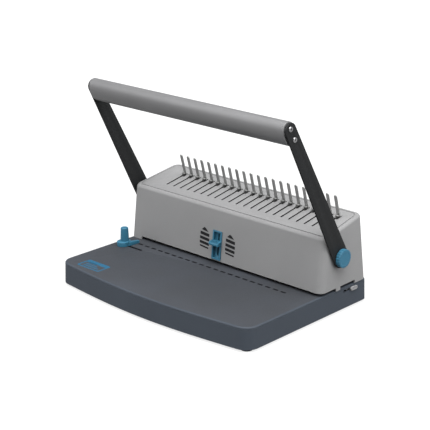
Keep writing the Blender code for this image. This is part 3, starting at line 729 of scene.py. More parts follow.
@dataclass(frozen=True)
class ExtrudedAluminium(Finish):
    """Matt anodised extrusion with fine die lines along X."""

    colour: Colour
    shade: Colour
    roughness: float

    def paint(self, sheet: Sheet) -> None:
        """Builds the die lines and the anodising's clouds.

        Args:
            sheet: The node tree to build them in.
        """
        lines = sheet.noise(0.35 * MM, 3.0, (900.0, 1.0, 1.0))
        clouds = sheet.between(sheet.noise(45 * MM, 4.0, (2.0, 1.0, 1.0)), 0.0, 1.0)
        tone = sheet.blend(clouds, self.colour, self.shade)
        tone = sheet.blend(sheet.between(lines, 0.0, 0.25), tone, self.shade)
        rough = sheet.between(lines, self.roughness - 0.06, self.roughness + 0.06)
        sheet.surface(Base_Color=tone, Roughness=rough, Metallic=0.35, Specular_IOR_Level=0.3)
        sheet.relief((lines, 0.012 * MM))


@dataclass(frozen=True)
class PlatedSteel(Finish):
    """Plated steel: mill lines along X, spangled plating, duller patches and painted shade in its
    recesses.
    """

    colour: Colour
    shade: Colour
    roughness: float
    lines: float

    def paint(self, sheet: Sheet) -> None:
        """Builds the mill lines, the plating's spangle, its duller patches and painted shade in its
        recesses.

        Args:
            sheet: The node tree to build them in.
        """
        lines = sheet.noise(self.lines, 3.0, (60.0, 1.0, 1.0))
        patches = sheet.between(sheet.noise(14 * MM, 5.0), 0.0, 1.0)
        tone = sheet.blend(patches, self.colour, self.shade)
        tone = sheet.blend(sheet.between(sheet.cells(1.6 * MM), 0.0, 0.2, 0.0, 1.0), tone, self.shade)
        # Painted shade: an occlusion mask darkens the recesses towards near black.
        tone = sheet.blend(sheet.times(sheet.recesses(3 * MM), 0.5), tone, (0.05, 0.05, 0.052))
        rough = sheet.between(patches, self.roughness, self.roughness + 0.14, 0.0, 1.0)
        sheet.surface(Base_Color=tone, Roughness=rough, Metallic=1.0)
        sheet.relief((lines, 0.01 * MM))


@dataclass(frozen=True)
class Rubber(Finish):
    """Black rubber with a dusty bloom."""

    colour: Colour
    bloom: Colour

    def paint(self, sheet: Sheet) -> None:
        """Builds the bloom and the moulded grain.

        Args:
            sheet: The node tree to build them in.
        """
        bloom = sheet.between(sheet.noise(6 * MM, 5.0), 0.0, 0.5, 0.4, 0.8)
        tone = sheet.blend(bloom, self.colour, self.bloom)
        rough = sheet.between(sheet.noise(3 * MM, 2.0), 0.72, 0.88)
        sheet.surface(Base_Color=tone, Roughness=rough, Specular_IOR_Level=0.3)
        sheet.relief((sheet.cells(0.5 * MM), 0.03 * MM))


@dataclass(frozen=True)
class PrintedInk(Finish):
    """Pad-printed ink: matt, with slightly uneven cover."""

    colour: Colour
    thin: Colour

    def paint(self, sheet: Sheet) -> None:
        """Builds the ink's mottling and its fine relief.

        Args:
            sheet: The node tree to build them in.
        """
        mottle = sheet.between(sheet.noise(1.8 * MM, 5.0), 0.0, 0.6, 0.45, 0.75)
        tone = sheet.blend(mottle, self.colour, self.thin)
        rough = sheet.between(sheet.noise(0.8 * MM, 2.0), 0.75, 0.9)
        sheet.surface(Base_Color=tone, Roughness=rough, Specular_IOR_Level=0.05)
        sheet.relief((sheet.noise(0.6 * MM, 2.0), 0.008 * MM))


@dataclass(frozen=True)
class StudioPaper(Finish):
    """The plain pale sheet that the machine stands on, lit from below as on a light table."""

    colour: Colour
    glow: float
    bounce: float

    def paint(self, sheet: Sheet) -> None:
        """Builds an even pale tone with the faintest fibre.

        Args:
            sheet: The node tree to build them in.
        """
        fibre = sheet.between(sheet.noise(40 * MM, 3.0), 0.0, 1.0)
        paler = tuple(channel * 1.02 for channel in self.colour)
        tone = sheet.blend(fibre, self.colour, paler)
        sheet.surface(Base_Color=tone, Roughness=0.95, Specular_IOR_Level=0.0)
        seen = sheet.add("ShaderNodeLightPath", {}).outputs["Is Camera Ray"]
        glow = sheet.between(seen, self.bounce, self.glow, 0.0, 1.0)
        sheet.surface(Emission_Color=(1.0, 1.0, 1.0, 1.0), Emission_Strength=glow)


COVER_GREY = MouldedPlastic(
    "light_grey_shell_moulding",
    "cover_plastic",
    colour=(0.200, 0.200, 0.201),
    shade=(0.189, 0.189, 0.191),
    dust_and_shade=(0.130, 0.130, 0.133),
    roughness=0.5,
    gloss=0.3,
    grain=0.55 * MM,
    relief=0.018 * MM,
)
BASE_GREY = MouldedPlastic(
    "slate_base_moulding",
    "base_plastic",
    colour=(0.0380, 0.0460, 0.0585),
    shade=(0.0345, 0.0420, 0.0535),
    dust_and_shade=(0.0500, 0.0560, 0.0640),
    roughness=0.55,
    gloss=0.2,
    grain=0.6 * MM,
    relief=0.025 * MM,
)
# Painted shade: a darker, duller copy of the base plastic for the deck's upward faces.
SHADED_DECK_GREY = MouldedPlastic(
    "slate_deck_moulding",
    "base_plastic",
    colour=(0.0380, 0.0420, 0.0500),
    shade=(0.0345, 0.0370, 0.0420),
    dust_and_shade=(0.0500, 0.0530, 0.0580),
    roughness=0.62,
    gloss=0.15,
    grain=0.7 * MM,
    relief=0.03 * MM,
)
# Painted shadow: a near-black moulding for the walls of narrow slots, standing in for the shade inside
# them.
SLOT_WALL_SHADOW = MouldedPlastic(
    "grimy_cut_moulding",
    "base_plastic",
    colour=(0.012, 0.012, 0.013),
    shade=(0.009, 0.009, 0.010),
    dust_and_shade=(0.020, 0.020, 0.021),
    roughness=0.8,
    gloss=0.05,
    grain=0.5 * MM,
    relief=0.02 * MM,
)
CONTROL_BLUE = MouldedPlastic(
    "control_blue_moulding",
    "blue_plastic",
    colour=(0.025, 0.120, 0.190),
    shade=(0.021, 0.106, 0.170),
    dust_and_shade=(0.022, 0.100, 0.160),
    roughness=0.42,
    gloss=0.35,
    grain=0.35 * MM,
    relief=0.008 * MM,
)
SELECTOR_GREY = MouldedPlastic(
    "selector_grey_moulding",
    "selector_plastic",
    colour=(0.195, 0.195, 0.199),
    shade=(0.178, 0.178, 0.183),
    dust_and_shade=(0.130, 0.130, 0.134),
    roughness=0.4,
    gloss=0.4,
    grain=0.3 * MM,
    relief=0.006 * MM,
)
ARM_BLACK = PaintedSteel(
    "satin_black_powder_coat",
    "arm_paint",
    colour=(0.0120, 0.0126, 0.0132),
    roughness=0.55,
)
GRIP_METAL = ExtrudedAluminium(
    "matt_anodised_extrusion",
    "grip_finish",
    colour=(0.192, 0.192, 0.195),
    shade=(0.164, 0.164, 0.167),
    roughness=0.45,
)
BRIGHT_STEEL = PlatedSteel(
    "nickel_plated_steel",
    "plated_steel",
    colour=(0.46, 0.46, 0.465),
    shade=(0.36, 0.36, 0.37),
    roughness=0.24,
    lines=0.3 * MM,
)
COMB_STEEL = PlatedSteel(
    "zinc_plated_comb_steel",
    "plated_steel",
    colour=(0.40, 0.40, 0.395),
    shade=(0.30, 0.30, 0.298),
    roughness=0.42,
    lines=0.4 * MM,
)
DARK_STEEL = PlatedSteel(
    "dark_zinc_steel",
    "zinc_steel",
    colour=(0.17, 0.17, 0.175),
    shade=(0.11, 0.11, 0.115),
    roughness=0.4,
    lines=0.5 * MM,
)
BUSH_BRONZE = PlatedSteel(
    "oil_soaked_bronze",
    "bronze",
    colour=(0.42, 0.27, 0.12),
    shade=(0.25, 0.15, 0.07),
    roughness=0.35,
    lines=0.4 * MM,
)
FOOT_RUBBER = Rubber(
    "black_foot_rubber",
    "foot_rubber",
    colour=(0.012, 0.013, 0.014),
    bloom=(0.03, 0.031, 0.033),
)
BLACK_INK = PrintedInk(
    "charcoal_print",
    "cover_plastic",
    colour=(0.012, 0.012, 0.013),
    thin=(0.03, 0.03, 0.032),
)
DECK_INK = PrintedInk(
    "dark_deck_print",
    "base_plastic",
    colour=(0.004, 0.004, 0.005),
    thin=(0.010, 0.010, 0.012),
)
BLUE_INK = PrintedInk(
    "blue_print",
    "blue_plastic",
    colour=(0.018, 0.085, 0.150),
    thin=(0.020, 0.065, 0.110),
)
PAPER = StudioPaper("pale_studio_paper", "", colour=(0.16, 0.16, 0.16), glow=0.80, bounce=0.10)


def dress(piece: Piece, finish: Finish, body: str, *stands_for: str, angle: float = 35.0) -> Piece:
    """Gives a new piece its smoothing, its material and its body.

    Args:
        piece: The piece, in place.
        finish: Its finish.
        body: The CAD body that it rides on.
        stands_for: The CAD nodes that it is shown instead of.
        angle: Edges sharper than this stay crisp, in degrees.

    Returns:
        The same piece.
    """
    select_only(piece)
    bpy.ops.object.shade_smooth_by_angle(angle=math.radians(angle))
    if not any(piece.data.materials):
        piece.data.materials.append(finish.material())
    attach(piece, body)
    if stands_for:
        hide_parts(*stands_for)
    log.info("%s: %d faces, %s, rides on %s", piece.name, len(piece.data.polygons), finish.name, body)
    return piece


def paint_slot_shadow(piece: Piece, outside: Finish, test: Callable[[bpy.types.MeshPolygon], bool]) -> None:
    """Paints shadow on the walls of narrow openings: a near-black material stands in for the shade inside
    them.

    Args:
        piece: The piece to work on.
        outside: The finish of the rest of it.
        test: Says of one face whether it is such a wall.
    """
    if not piece.data.materials:
        piece.data.materials.append(outside.material())
    piece.data.materials.append(SLOT_WALL_SHADOW.material())
    for face in piece.data.polygons:
        if test(face):
            face.material_index = len(piece.data.materials) - 1


def dress_node(name: str, finish: Finish) -> None:
    """Gives a CAD node that stays its finish.

    Args:
        name: The node's name.
        finish: Its finish.
    """
    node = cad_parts[name]
    if not node.material_slots:
        node.data.materials.append(None)
    for slot in node.material_slots:
        slot.material = finish.material()
    log.info("%s: CAD node, %s", name, finish.name)


# ---------------------------------------------------------------- base


@dataclass
class Base:
    """The base tray with its bowed front, its bottom plate, feet and printed marks."""

    half: float = 187.2 * MM
    draft: float = 0.8 * MM
    rear_y: float = 134.5 * MM
    corner_y: float = -120.97 * MM
    bow: float = 13.53 * MM
    chord: float = 173.55 * MM
    bow_half: float = 165.0 * MM
    bow_steps: int = 36
    front_r: float = 18.0 * MM
    rear_r: float = 6.0 * MM
    rim_r: float = 2.2 * MM
    wall: float = 3.0 * MM
    groove_z: float = 32.9 * MM
    edge_slot_x: tuple[float, float] = (-172.5 * MM, -130.5 * MM)
    edge_slot_y: float = -8.0 * MM
    edge_slot_half: float = 2.2 * MM
    selector_way_y: tuple[float, float] = (81.0 * MM, 112.0 * MM)
    selector_way_z: tuple[float, float] = (27.3 * MM, 31.3 * MM)
    pocket_half: float = 162.6 * MM
    pocket_y: tuple[float, float] = (32.4 * MM, 57.6 * MM)
    drawer_way_half: float = 150.4 * MM
    drawer_way_y: tuple[float, float] = (120.0 * MM, 150.0 * MM)
    drawer_way_z: tuple[float, float] = (6.8 * MM, 30.5 * MM)
    cut_z: tuple[float, float] = (25.0 * MM, 50.0 * MM)
    mark_size: tuple[float, float] = (9.2 * MM, 3.6 * MM)
    mark_y: float = 9.6 * MM
    ink: float = 0.06 * MM

    def front_y(self, x: float) -> float:
        """Gives the y of the bowed front at x."""
        return self.corner_y - self.bow * math.cos(math.pi * x / (2 * self.chord))

    def bowed_block(self, name: str, inset: float, low_z: float, high_z: float) -> Piece:
        """Models a block with the base's plan.

        Args:
            name: The piece's name.
            inset: How far its sides stand in from the base's.
            low_z: Z of its bottom.
            high_z: Z of its top.

        Returns:
            The block.
        """
        half = self.half - inset
        straight_y = self.front_y(half) + inset
        piece = block(name, (-half, straight_y, low_z), (half, self.rear_y - inset, high_z))
        xs = [self.bow_half * (2 * k / self.bow_steps - 1) for k in range(self.bow_steps + 1)]
        with editing(piece):
            for x in xs:
                pick(piece, Part.FACE, lambda face: face.normal.y < -MOSTLY)
                bpy.ops.mesh.bisect(plane_co=(x, 0.0, 0.0), plane_no=(1.0, 0.0, 0.0))
            for x in xs:
                shift = (0.0, self.front_y(x) + inset - straight_y, 0.0)
                move_points(piece, lambda vert: abs(vert.co.x - x) < TOUCH and vert.co.y < 0, shift)
        for radius, steps, side in (
            (max(self.front_r - inset, 5 * MM), 10, -1.0),
            (max(self.rear_r - inset, 1.5 * MM), 5, 1.0),
        ):
            round_edges(piece, radius, steps, lambda edge: self.is_upright(edge, half, side))
        return piece

    def is_upright(self, edge: Edge, half: float, side: float) -> bool:
        """Says whether an edge is one of a block's two upright ones in front or behind.

        Args:
            edge: The edge to look at.
            half: Half the block's width.
            side: -1 for the front and 1 for the rear.

        Returns:
            True if it is.
        """
        at = middle(edge)
        return along(edge, 2) and abs(at.x) > half - TOUCH and at.y * side > 0

    def tray(self) -> Piece:
        """Models the tray: drafted walls, a rounded rim over a parting groove, and its openings.

        Returns:
            The tray.
        """
        low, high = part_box("base_tray")
        tray = self.bowed_block("base_shell", 0.0, low.z, high.z)
        with editing(tray):
            pick(tray, Part.FACE, lambda face: face.normal.z > MOSTLY)
            shrink = (1 - self.draft / self.half, 1 - self.draft / self.rear_y, 1.0)
            bpy.ops.transform.resize(value=shrink, center_override=(0.0, 0.0, high.z))
            pick(tray, Part.FACE, lambda face: face.normal.z < -MOSTLY)
            bpy.ops.mesh.delete(type="FACE")
            pick(tray, Part.FACE, lambda face: abs(face.normal.z) < 0.5)
            bpy.ops.mesh.bisect(plane_co=(0.0, 0.0, self.groove_z), plane_no=(0.0, 0.0, 1.0))
            pick(tray, Part.EDGE, lambda edge: at_height(edge, self.groove_z))
            bpy.ops.mesh.bevel(offset=0.4 * MM, segments=2, affect="EDGES")
            pick(tray, Part.VERT, lambda vert: abs(vert.co.z - self.groove_z) < 0.1 * MM)
            bpy.ops.transform.shrink_fatten(value=-0.5 * MM)
        round_edges(tray, self.rim_r, 5, lambda edge: at_height(edge, high.z) and is_corner(edge))
        with_wall(tray, self.wall)
        level_rim(tray, low.z)
        for cutter in (self.pocket(), self.edge_slot(), self.drawer_way(), self.selector_way()):
            combine(tray, cutter, Join.CARVE)
        round_edges(tray, 0.35 * MM, 2, lambda edge: self.is_deck_cut(edge, high.z))
        # Painted shade: the deck's upward faces get the darker, duller copy of the base plastic.
        self.paint_deck(tray, high.z)
        # Painted shadow: the edge guide's slot walls get the near-black moulding.
        paint_slot_shadow(tray, BASE_GREY, self.is_edge_slot_wall)
        return tray

    def pocket(self) -> Piece:
        """Makes the cutter for the pocket under the cover that the die plate lies in."""
        low = (-self.pocket_half, self.pocket_y[0], self.cut_z[0])
        return block("pocket", low, (self.pocket_half, self.pocket_y[1], self.cut_z[1]))

    def edge_slot(self) -> Piece:
        """Makes the cutter for the slot that the edge guide slides in.

        Returns:
            The cutter.
        """
        start, end = self.edge_slot_x
        half = self.edge_slot_half
        low = (start - half, self.edge_slot_y - half, self.cut_z[0])
        slot = block("slot", low, (end + half, self.edge_slot_y + half, self.cut_z[1]))
        return round_edges(slot, half * ROUND_END, 6, lambda edge: along(edge, 2))

    def drawer_way(self) -> Piece:
        """Makes the cutter for the opening in the rear wall that the chip drawer slides through."""
        low = (-self.drawer_way_half, self.drawer_way_y[0], self.drawer_way_z[0])
        return block("drawer_way", low, (self.drawer_way_half, self.drawer_way_y[1], self.drawer_way_z[1]))

    def selector_way(self) -> Piece:
        """Makes the cutter for the round-ended opening that the margin selector slides in.

        Returns:
            The cutter.
        """
        low_y, high_y = self.selector_way_y
        low_z, high_z = self.selector_way_z
        low = (self.half - 2 * PAST, low_y, low_z)
        way = block("selector_way", low, (self.half + 2 * PAST, high_y, high_z))
        return round_edges(way, 1.9 * MM, 5, lambda edge: along(edge, 0))

    def is_deck_cut(self, edge: Edge, deck_z: float) -> bool:
        """Says whether an edge is the rim of a cut in the deck, and not the deck's own rim."""
        return at_height(edge, deck_z) and is_corner(edge) and abs(middle(edge).x) < 180 * MM

    def is_edge_slot_wall(self, face: bpy.types.MeshPolygon) -> bool:
        """Says whether a face is on the wall of the edge guide's slot.

        Args:
            face: A face of the tray.

        Returns:
            True if it is.
        """
        x, y, z = face.center
        start, end = self.edge_slot_x
        reach = self.edge_slot_half + 0.1 * MM
        beside = start - reach < x < end + reach and abs(y - self.edge_slot_y) < reach
        return beside and DECK_Z - 2 * self.wall < z < DECK_Z - TOUCH and abs(face.normal.z) < MOSTLY

    def paint_deck(self, tray: Piece, deck_z: float) -> None:
        """Gives the tray's walls the base plastic and its deck a darker, duller copy of it, as painted
        shade.

        Args:
            tray: The tray.
            deck_z: Height of the deck.
        """
        tray.data.materials.append(BASE_GREY.material())
        tray.data.materials.append(SHADED_DECK_GREY.material())
        for face in tray.data.polygons:
            face.material_index = int(face.normal.z > MOSTLY and face.center.z > deck_z - TOUCH)

    def bottom_plate(self) -> Piece:
        """Models the pressed steel plate under the base, with a stiffening step round it.

        Returns:
            The plate.
        """
        low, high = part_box("bottom_plate")
        inset = self.wall + GAP
        plate = self.bowed_block("bottom_cover_plate", inset, low.z, high.z)
        step = self.bowed_block("step", inset + 16 * MM, low.z - PAST, low.z + 0.5 * MM)
        combine(plate, step, Join.CARVE)
        return soften(plate, 0.2 * MM)

    def foot(self, name: str) -> Piece:
        """Models a round rubber foot over the box of one CAD foot, with a dished sole.

        Args:
            name: The CAD node's name.

        Returns:
            The foot.
        """
        low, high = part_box(name)
        radius = (high.x - low.x) / 2
        foot = drum(f"{name}_pad", radius - 1.4 * MM, low.z, high.z, 40, radius)
        round_edges(foot, 0.8 * MM, 4, lambda edge: middle(edge).z < low.z + TOUCH)
        with editing(foot):
            pick(foot, Part.FACE, lambda face: face.normal.z < -0.99)
            bpy.ops.mesh.inset(thickness=2.6 * MM, depth=0.0)
            bpy.ops.mesh.inset(thickness=0.6 * MM, depth=-1.2 * MM)
        return place(foot, Matrix.Translation(((low.x + high.x) / 2, (low.y + high.y) / 2, 0.0)))

    def hole_marks(self) -> Piece:
        """Models the printed dash on the deck in front of each punch.

        Returns:
            The row of dashes.
        """
        width, depth = self.mark_size
        low = (-width / 2, self.mark_y - depth / 2, DECK_Z)
        mark = block("hole_marks", low, (width / 2, self.mark_y + depth / 2, DECK_Z + self.ink))
        round_edges(mark, 0.5 * MM, 3, lambda edge: along(edge, 2))
        return row_of(mark, PUNCH_XS)

    def sheet_emblem(self) -> Piece:
        """Models a plain printed sign on the deck: a punched sheet of paper.

        Returns:
            The sign.
        """
        low_x, low_y = -157.0 * MM, -113.0 * MM
        width, depth, line = 46.0 * MM, 26.0 * MM, 2.4 * MM
        floor = DECK_Z
        top = DECK_Z + self.ink
        sheet = block("sheet_emblem", (low_x, low_y, floor), (low_x + width, low_y + depth, top))
        round_edges(sheet, 3.0 * MM, 5, lambda edge: along(edge, 2))
        inside_low = (low_x + line, low_y + line, floor - line)
        inside_high = (low_x + width - line, low_y + depth - 3.4 * line, top + line)
        inside = block("inside", inside_low, inside_high)
        round_edges(inside, 1.6 * MM, 4, lambda edge: along(edge, 2))
        combine(sheet, inside, Join.CARVE)
        size = 2.4 * MM
        hole_y = low_y + depth - 2.2 * line
        hole = block("hole", (-size / 2, hole_y, floor - line), (size / 2, hole_y + size / 2, top + line))
        holes = row_of(hole, [low_x + width * (k + 1) / 8 for k in range(7)])
        combine(sheet, holes, Join.CARVE)
        for k in range(3):
            bar_low = (low_x + 3 * line, low_y + (2.4 + 2.2 * k) * line, floor)
            bar_high = (low_x + width - (3 + 3 * k) * line, low_y + (3.4 + 2.2 * k) * line, top)
            bar = block(f"bar_{k}", bar_low, bar_high)
            round_edges(bar, 1.0 * MM, 3, lambda edge: along(edge, 2))
            merged("sheet_emblem", [sheet, bar])
        return sheet

    def build(self) -> None:
        """Models and dresses the base and what is fixed to it."""
        dress(self.tray(), BASE_GREY, "machine", "base_tray")
        dress(self.bottom_plate(), DARK_STEEL, "machine", "bottom_plate")
        for side in ("left", "right"):
            for end in ("front", "rear"):
                name = f"{end}_{side}_foot"
                dress(self.foot(name), FOOT_RUBBER, "machine", name)
        dress(self.hole_marks(), DECK_INK, "machine")
        dress(self.sheet_emblem(), BLUE_INK, "machine")


@dataclass
class ChipTray:
    """The drawer that catches the punched chips, with a finger scoop at its rear."""

    wall: float = 2.0 * MM
    rear_wall: float = 3.0 * MM
    scoop_half: float = 30.0 * MM
    scoop_y: float = 140.0 * MM
    scoop_z: float = 17.0 * MM
    scoop_r: float = 7.5 * MM

    def build(self) -> None:
        """Models the drawer with its scoop and grip ribs, and dresses it."""
        low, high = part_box("chip_tray")
        tray = block("chip_drawer", low, high)
        inside_low = (low.x + self.wall, low.y + self.wall, low.z + self.wall)
        inside_high = (high.x - self.wall, high.y - self.rear_wall, high.z + PAST)
        inside = block("inside", inside_low, inside_high)
        round_edges(inside, 3.0 * MM, 4, lambda edge: not middle(edge).z > high.z)
        combine(tray, inside, Join.CARVE)
        scoop = drum("scoop", self.scoop_r, -self.scoop_half, self.scoop_half, 32)
        round_edges(scoop, 2.0 * MM, 4, lambda edge: not along(edge, 2))
        place(scoop, facing(Vector((0.0, self.scoop_y, self.scoop_z)), (1.0, 0.0, 0.0)))
        combine(tray, scoop, Join.CARVE)
        soften(tray, 0.45 * MM)
        dress(tray, BASE_GREY, "drawer", "chip_tray")
        length, height = 2 * self.scoop_half, 0.9 * MM
        for k in range(2):
            z = low.z + 1.7 * MM + 1.5 * MM * k
            end = (length / 2, high.y - 0.05 * MM, z + 0.7 * MM)
            rib = block(f"drawer_grip_rib_{k + 1}", (-length / 2, high.y - height, z), end)
            with editing(rib):
                pick(rib, Part.FACE, lambda face: face.normal.y > MOSTLY)
                centre = (0.0, high.y, z + 0.35 * MM)
                bpy.ops.transform.resize(value=(0.98, 1.0, 0.5), center_override=centre)
            dress(soften(rib, 0.12 * MM), BASE_GREY, "drawer")


# ---------------------------------------------------------------- cover


@dataclass
class Cover:
    """The light grey cover: a tapering shell with a grooved, slotted top."""

    front_half: float = 189.4 * MM
    rear_half: float = 187.0 * MM
    top_front_half: float = 188.2 * MM
    top_rear_half: float = 183.5 * MM
    upright_r: float = 11.0 * MM
    rim_r: float = 4.0 * MM
    wall: float = 2.5 * MM
    groove_inset: float = 5.6 * MM
    groove_width: float = 1.3 * MM
    groove_depth: float = 1.1 * MM
    groove_r: float = 9.0 * MM
    slot_half: float = 1.3 * MM
    slot_front: float = 23.5 * MM
    head_s: tuple[float, float] = (56.5 * MM, 67.5 * MM)
    head_x: tuple[float, float] = (-2.0 * MM, 4.0 * MM)
    throat_x: tuple[float, float] = (-165.0 * MM, 200.0 * MM)
    throat_rear_y: float = 61.5 * MM
    throat_z: tuple[float, float] = (30.0 * MM, 41.0 * MM)
    side_gap_x: tuple[float, float] = (175.0 * MM, 200.0 * MM)
    side_gap_y: tuple[float, float] = (71.0 * MM, 105.0 * MM)
    shaft_way_r: float = 8.0 * MM
    shaft_way_half: float = 200.0 * MM
    channel_size: tuple[float, float] = (8.0 * MM, 21.0 * MM)

    def blank(self) -> Piece:
        """Models the outside of the shell, open below.

        Returns:
            The shell, with its wall but without its openings.
        """
        low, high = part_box("cover")
        shell = block("cover_shell", (-self.front_half, low.y, low.z), (self.front_half, high.y, high.z))
        with editing(shell):
            for side in (-1.0, 1.0):
                targets = {
                    (False, False): Vector((side * self.front_half, low.y, low.z)),
                    (True, False): Vector((side * self.rear_half, high.y, low.z)),
                    (False, True): Vector((side * self.top_front_half, *TOP_FRONT.yz)),
                    (True, True): Vector((side * self.top_rear_half, *TOP_REAR.yz)),
                }
                for (rear, top), target in targets.items():
                    y = high.y if rear else low.y
                    start = Vector((side * self.front_half, y, high.z if top else low.z))
                    move_points(shell, lambda vert: (vert.co - start).length < TOUCH, target - start)
        round_edges(shell, self.upright_r, 8, lambda edge: along(edge, 2, 0.8))
        with editing(shell):
            pick(shell, Part.FACE, lambda face: face.normal.z < -MOSTLY)
            bpy.ops.mesh.delete(type="FACE")
        round_edges(shell, self.rim_r, 6, lambda edge: on_slope(edge) and is_corner(edge))
        with_wall(shell, self.wall)
        level_rim(shell, low.z)
        return shell

    def ring_slab(self, name: str, inset: float, depth: float) -> Piece:
        """Models a slab across the top whose sides stand in from the cover's edges.

        Args:
            name: The piece's name.
            inset: How far they stand in.
            depth: How far the slab reaches below the top, and above it.

        Returns:
            The slab, on the cover's slope.
        """
        length = (TOP_REAR - TOP_FRONT).length
        half = self.top_front_half - inset
        slab = block(name, (-half, inset, -depth), (half, length - inset, depth))
        with editing(slab):
            taper = (self.top_rear_half - inset) / half
            pick(slab, Part.FACE, lambda face: face.normal.y > MOSTLY)
            centre = (0.0, length - inset, 0.0)
            bpy.ops.transform.resize(value=(taper, 1.0, 1.0), center_override=centre)
        round_edges(slab, self.groove_r + self.groove_inset - inset, 8, lambda edge: along(edge, 2))
        return place(slab, ON_TOP)

    def groove(self) -> Piece:
        """Models the cutter for the groove that runs round the top.

        Returns:
            The cutter, a ring on the slope.
        """
        ring = self.ring_slab("groove", self.groove_inset, self.groove_depth)
        inner = self.ring_slab("inner", self.groove_inset + self.groove_width, PAST)
        return combine(ring, inner, Join.CARVE)

    def slots(self) -> Piece:
        """Models the cutter for the row of opener slots, each narrow with a wide head.

        Returns:
            The cutter, on the slope.
        """
        run_low = (-self.slot_half, self.slot_front, -12 * MM)
        run = block("slots", run_low, (self.slot_half, self.head_s[1] - 2 * MM, 12 * MM))
        radius = self.slot_half * ROUND_END
        front = self.slot_front + TOUCH
        round_edges(run, radius, 5, lambda edge: along(edge, 2) and middle(edge).y < front)
        low = (self.head_x[0], self.head_s[0], -14 * MM)
        head = block("head", low, (self.head_x[1], self.head_s[1], 14 * MM))
        round_edges(head, 0.7 * MM, 3, lambda edge: along(edge, 2))
        combine(run, head, Join.WELD)
        return place(row_of(run, TINE_XS), ON_TOP)

    def shell(self) -> Piece:
        """Models the cover with all its openings.

        Returns:
            The cover.
        """
        cover = self.blank()
        for cutter in (self.slots(), self.groove(), self.throat(), self.side_gap()):
            combine(cover, cutter, Join.CARVE)
        for cutter in (self.shaft_way(), self.channel_way()):
            combine(cover, cutter, Join.CARVE)
        round_edges(cover, 0.3 * MM, 2, lambda edge: on_slope(edge, 2 * TOUCH) and is_corner(edge))
        # Painted shadow: the opener slots' walls get the near-black moulding.
        paint_slot_shadow(cover, COVER_GREY, self.is_slot_wall)
        return cover

    def throat(self) -> Piece:
        """Makes the cutter for the gap over the deck that the paper goes into."""
        low = (self.throat_x[0], 0.0, self.throat_z[0])
        return block("throat", low, (self.throat_x[1], self.throat_rear_y, self.throat_z[1]))

    def side_gap(self) -> Piece:
        """Makes the cutter for the notch in the right wall, over the margin selector."""
        low = (self.side_gap_x[0], self.side_gap_y[0], self.throat_z[0])
        return block("side_gap", low, (self.side_gap_x[1], self.side_gap_y[1], self.throat_z[1]))

    def shaft_way(self) -> Piece:
        """Makes the cutter for the two holes that the main shaft comes out of."""
        way = drum("shaft_way", self.shaft_way_r, -self.shaft_way_half, self.shaft_way_half, 40)
        return place(way, facing(PIVOT, (1.0, 0.0, 0.0)))

    def channel_way(self) -> Piece:
        """Makes the cutter for the opening in the front wall that the slider's channel fills.

        Returns:
            The cutter.
        """
        x, y = self.channel_size
        way = block("channel", (-x, -y, -2 * PAST), (x, y, 2 * PAST))
        return place(way, front_wall(SLIDER_Z))

    def is_slot_wall(self, face: bpy.types.MeshPolygon) -> bool:
        """Says whether a face is on the wall of an opener slot.

        Args:
            face: A face of the cover.

        Returns:
            True if it is.
        """
        x, s, n = ON_TOP.inverted() @ face.center
        beside = min(abs(x - slot_x) for slot_x in TINE_XS) < self.head_x[1] + TOUCH
        in_run = self.slot_front - TOUCH < s < self.head_s[1] + TOUCH
        in_wall = -self.wall - TOUCH < n < -TOUCH
        return beside and in_run and in_wall and abs(face.normal.dot(NORMAL)) < MOSTLY

    def build(self) -> None:
        """Models and dresses the cover."""
        dress(self.shell(), COVER_GREY, "machine", "cover")


SLIDER_X = -8.0 * MM
SLIDER_Z = 64.5 * MM


def front_wall(z: float) -> Matrix:
    """Makes the matrix of a place on the cover's front wall.

    Args:
        z: Height of the place, at the comb size slider's x.

    Returns:
        The matrix whose local X, Y and Z run right, up the wall and out of it.
    """
    low_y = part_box("cover")[0].y
    share = (z - DECK_Z) / (TOP_FRONT.z - DECK_Z)
    y = low_y + (TOP_FRONT.y - low_y) * share
    up = Vector((0.0, TOP_FRONT.y - low_y, TOP_FRONT.z - DECK_Z)).normalized()
    right = Vector((1.0, 0.0, 0.0))
    turn = Matrix((right, up, right.cross(up))).transposed().to_4x4()
    return Matrix.Translation((SLIDER_X, y, z)) @ turn


# ---------------------------------------------------------------- comb opener


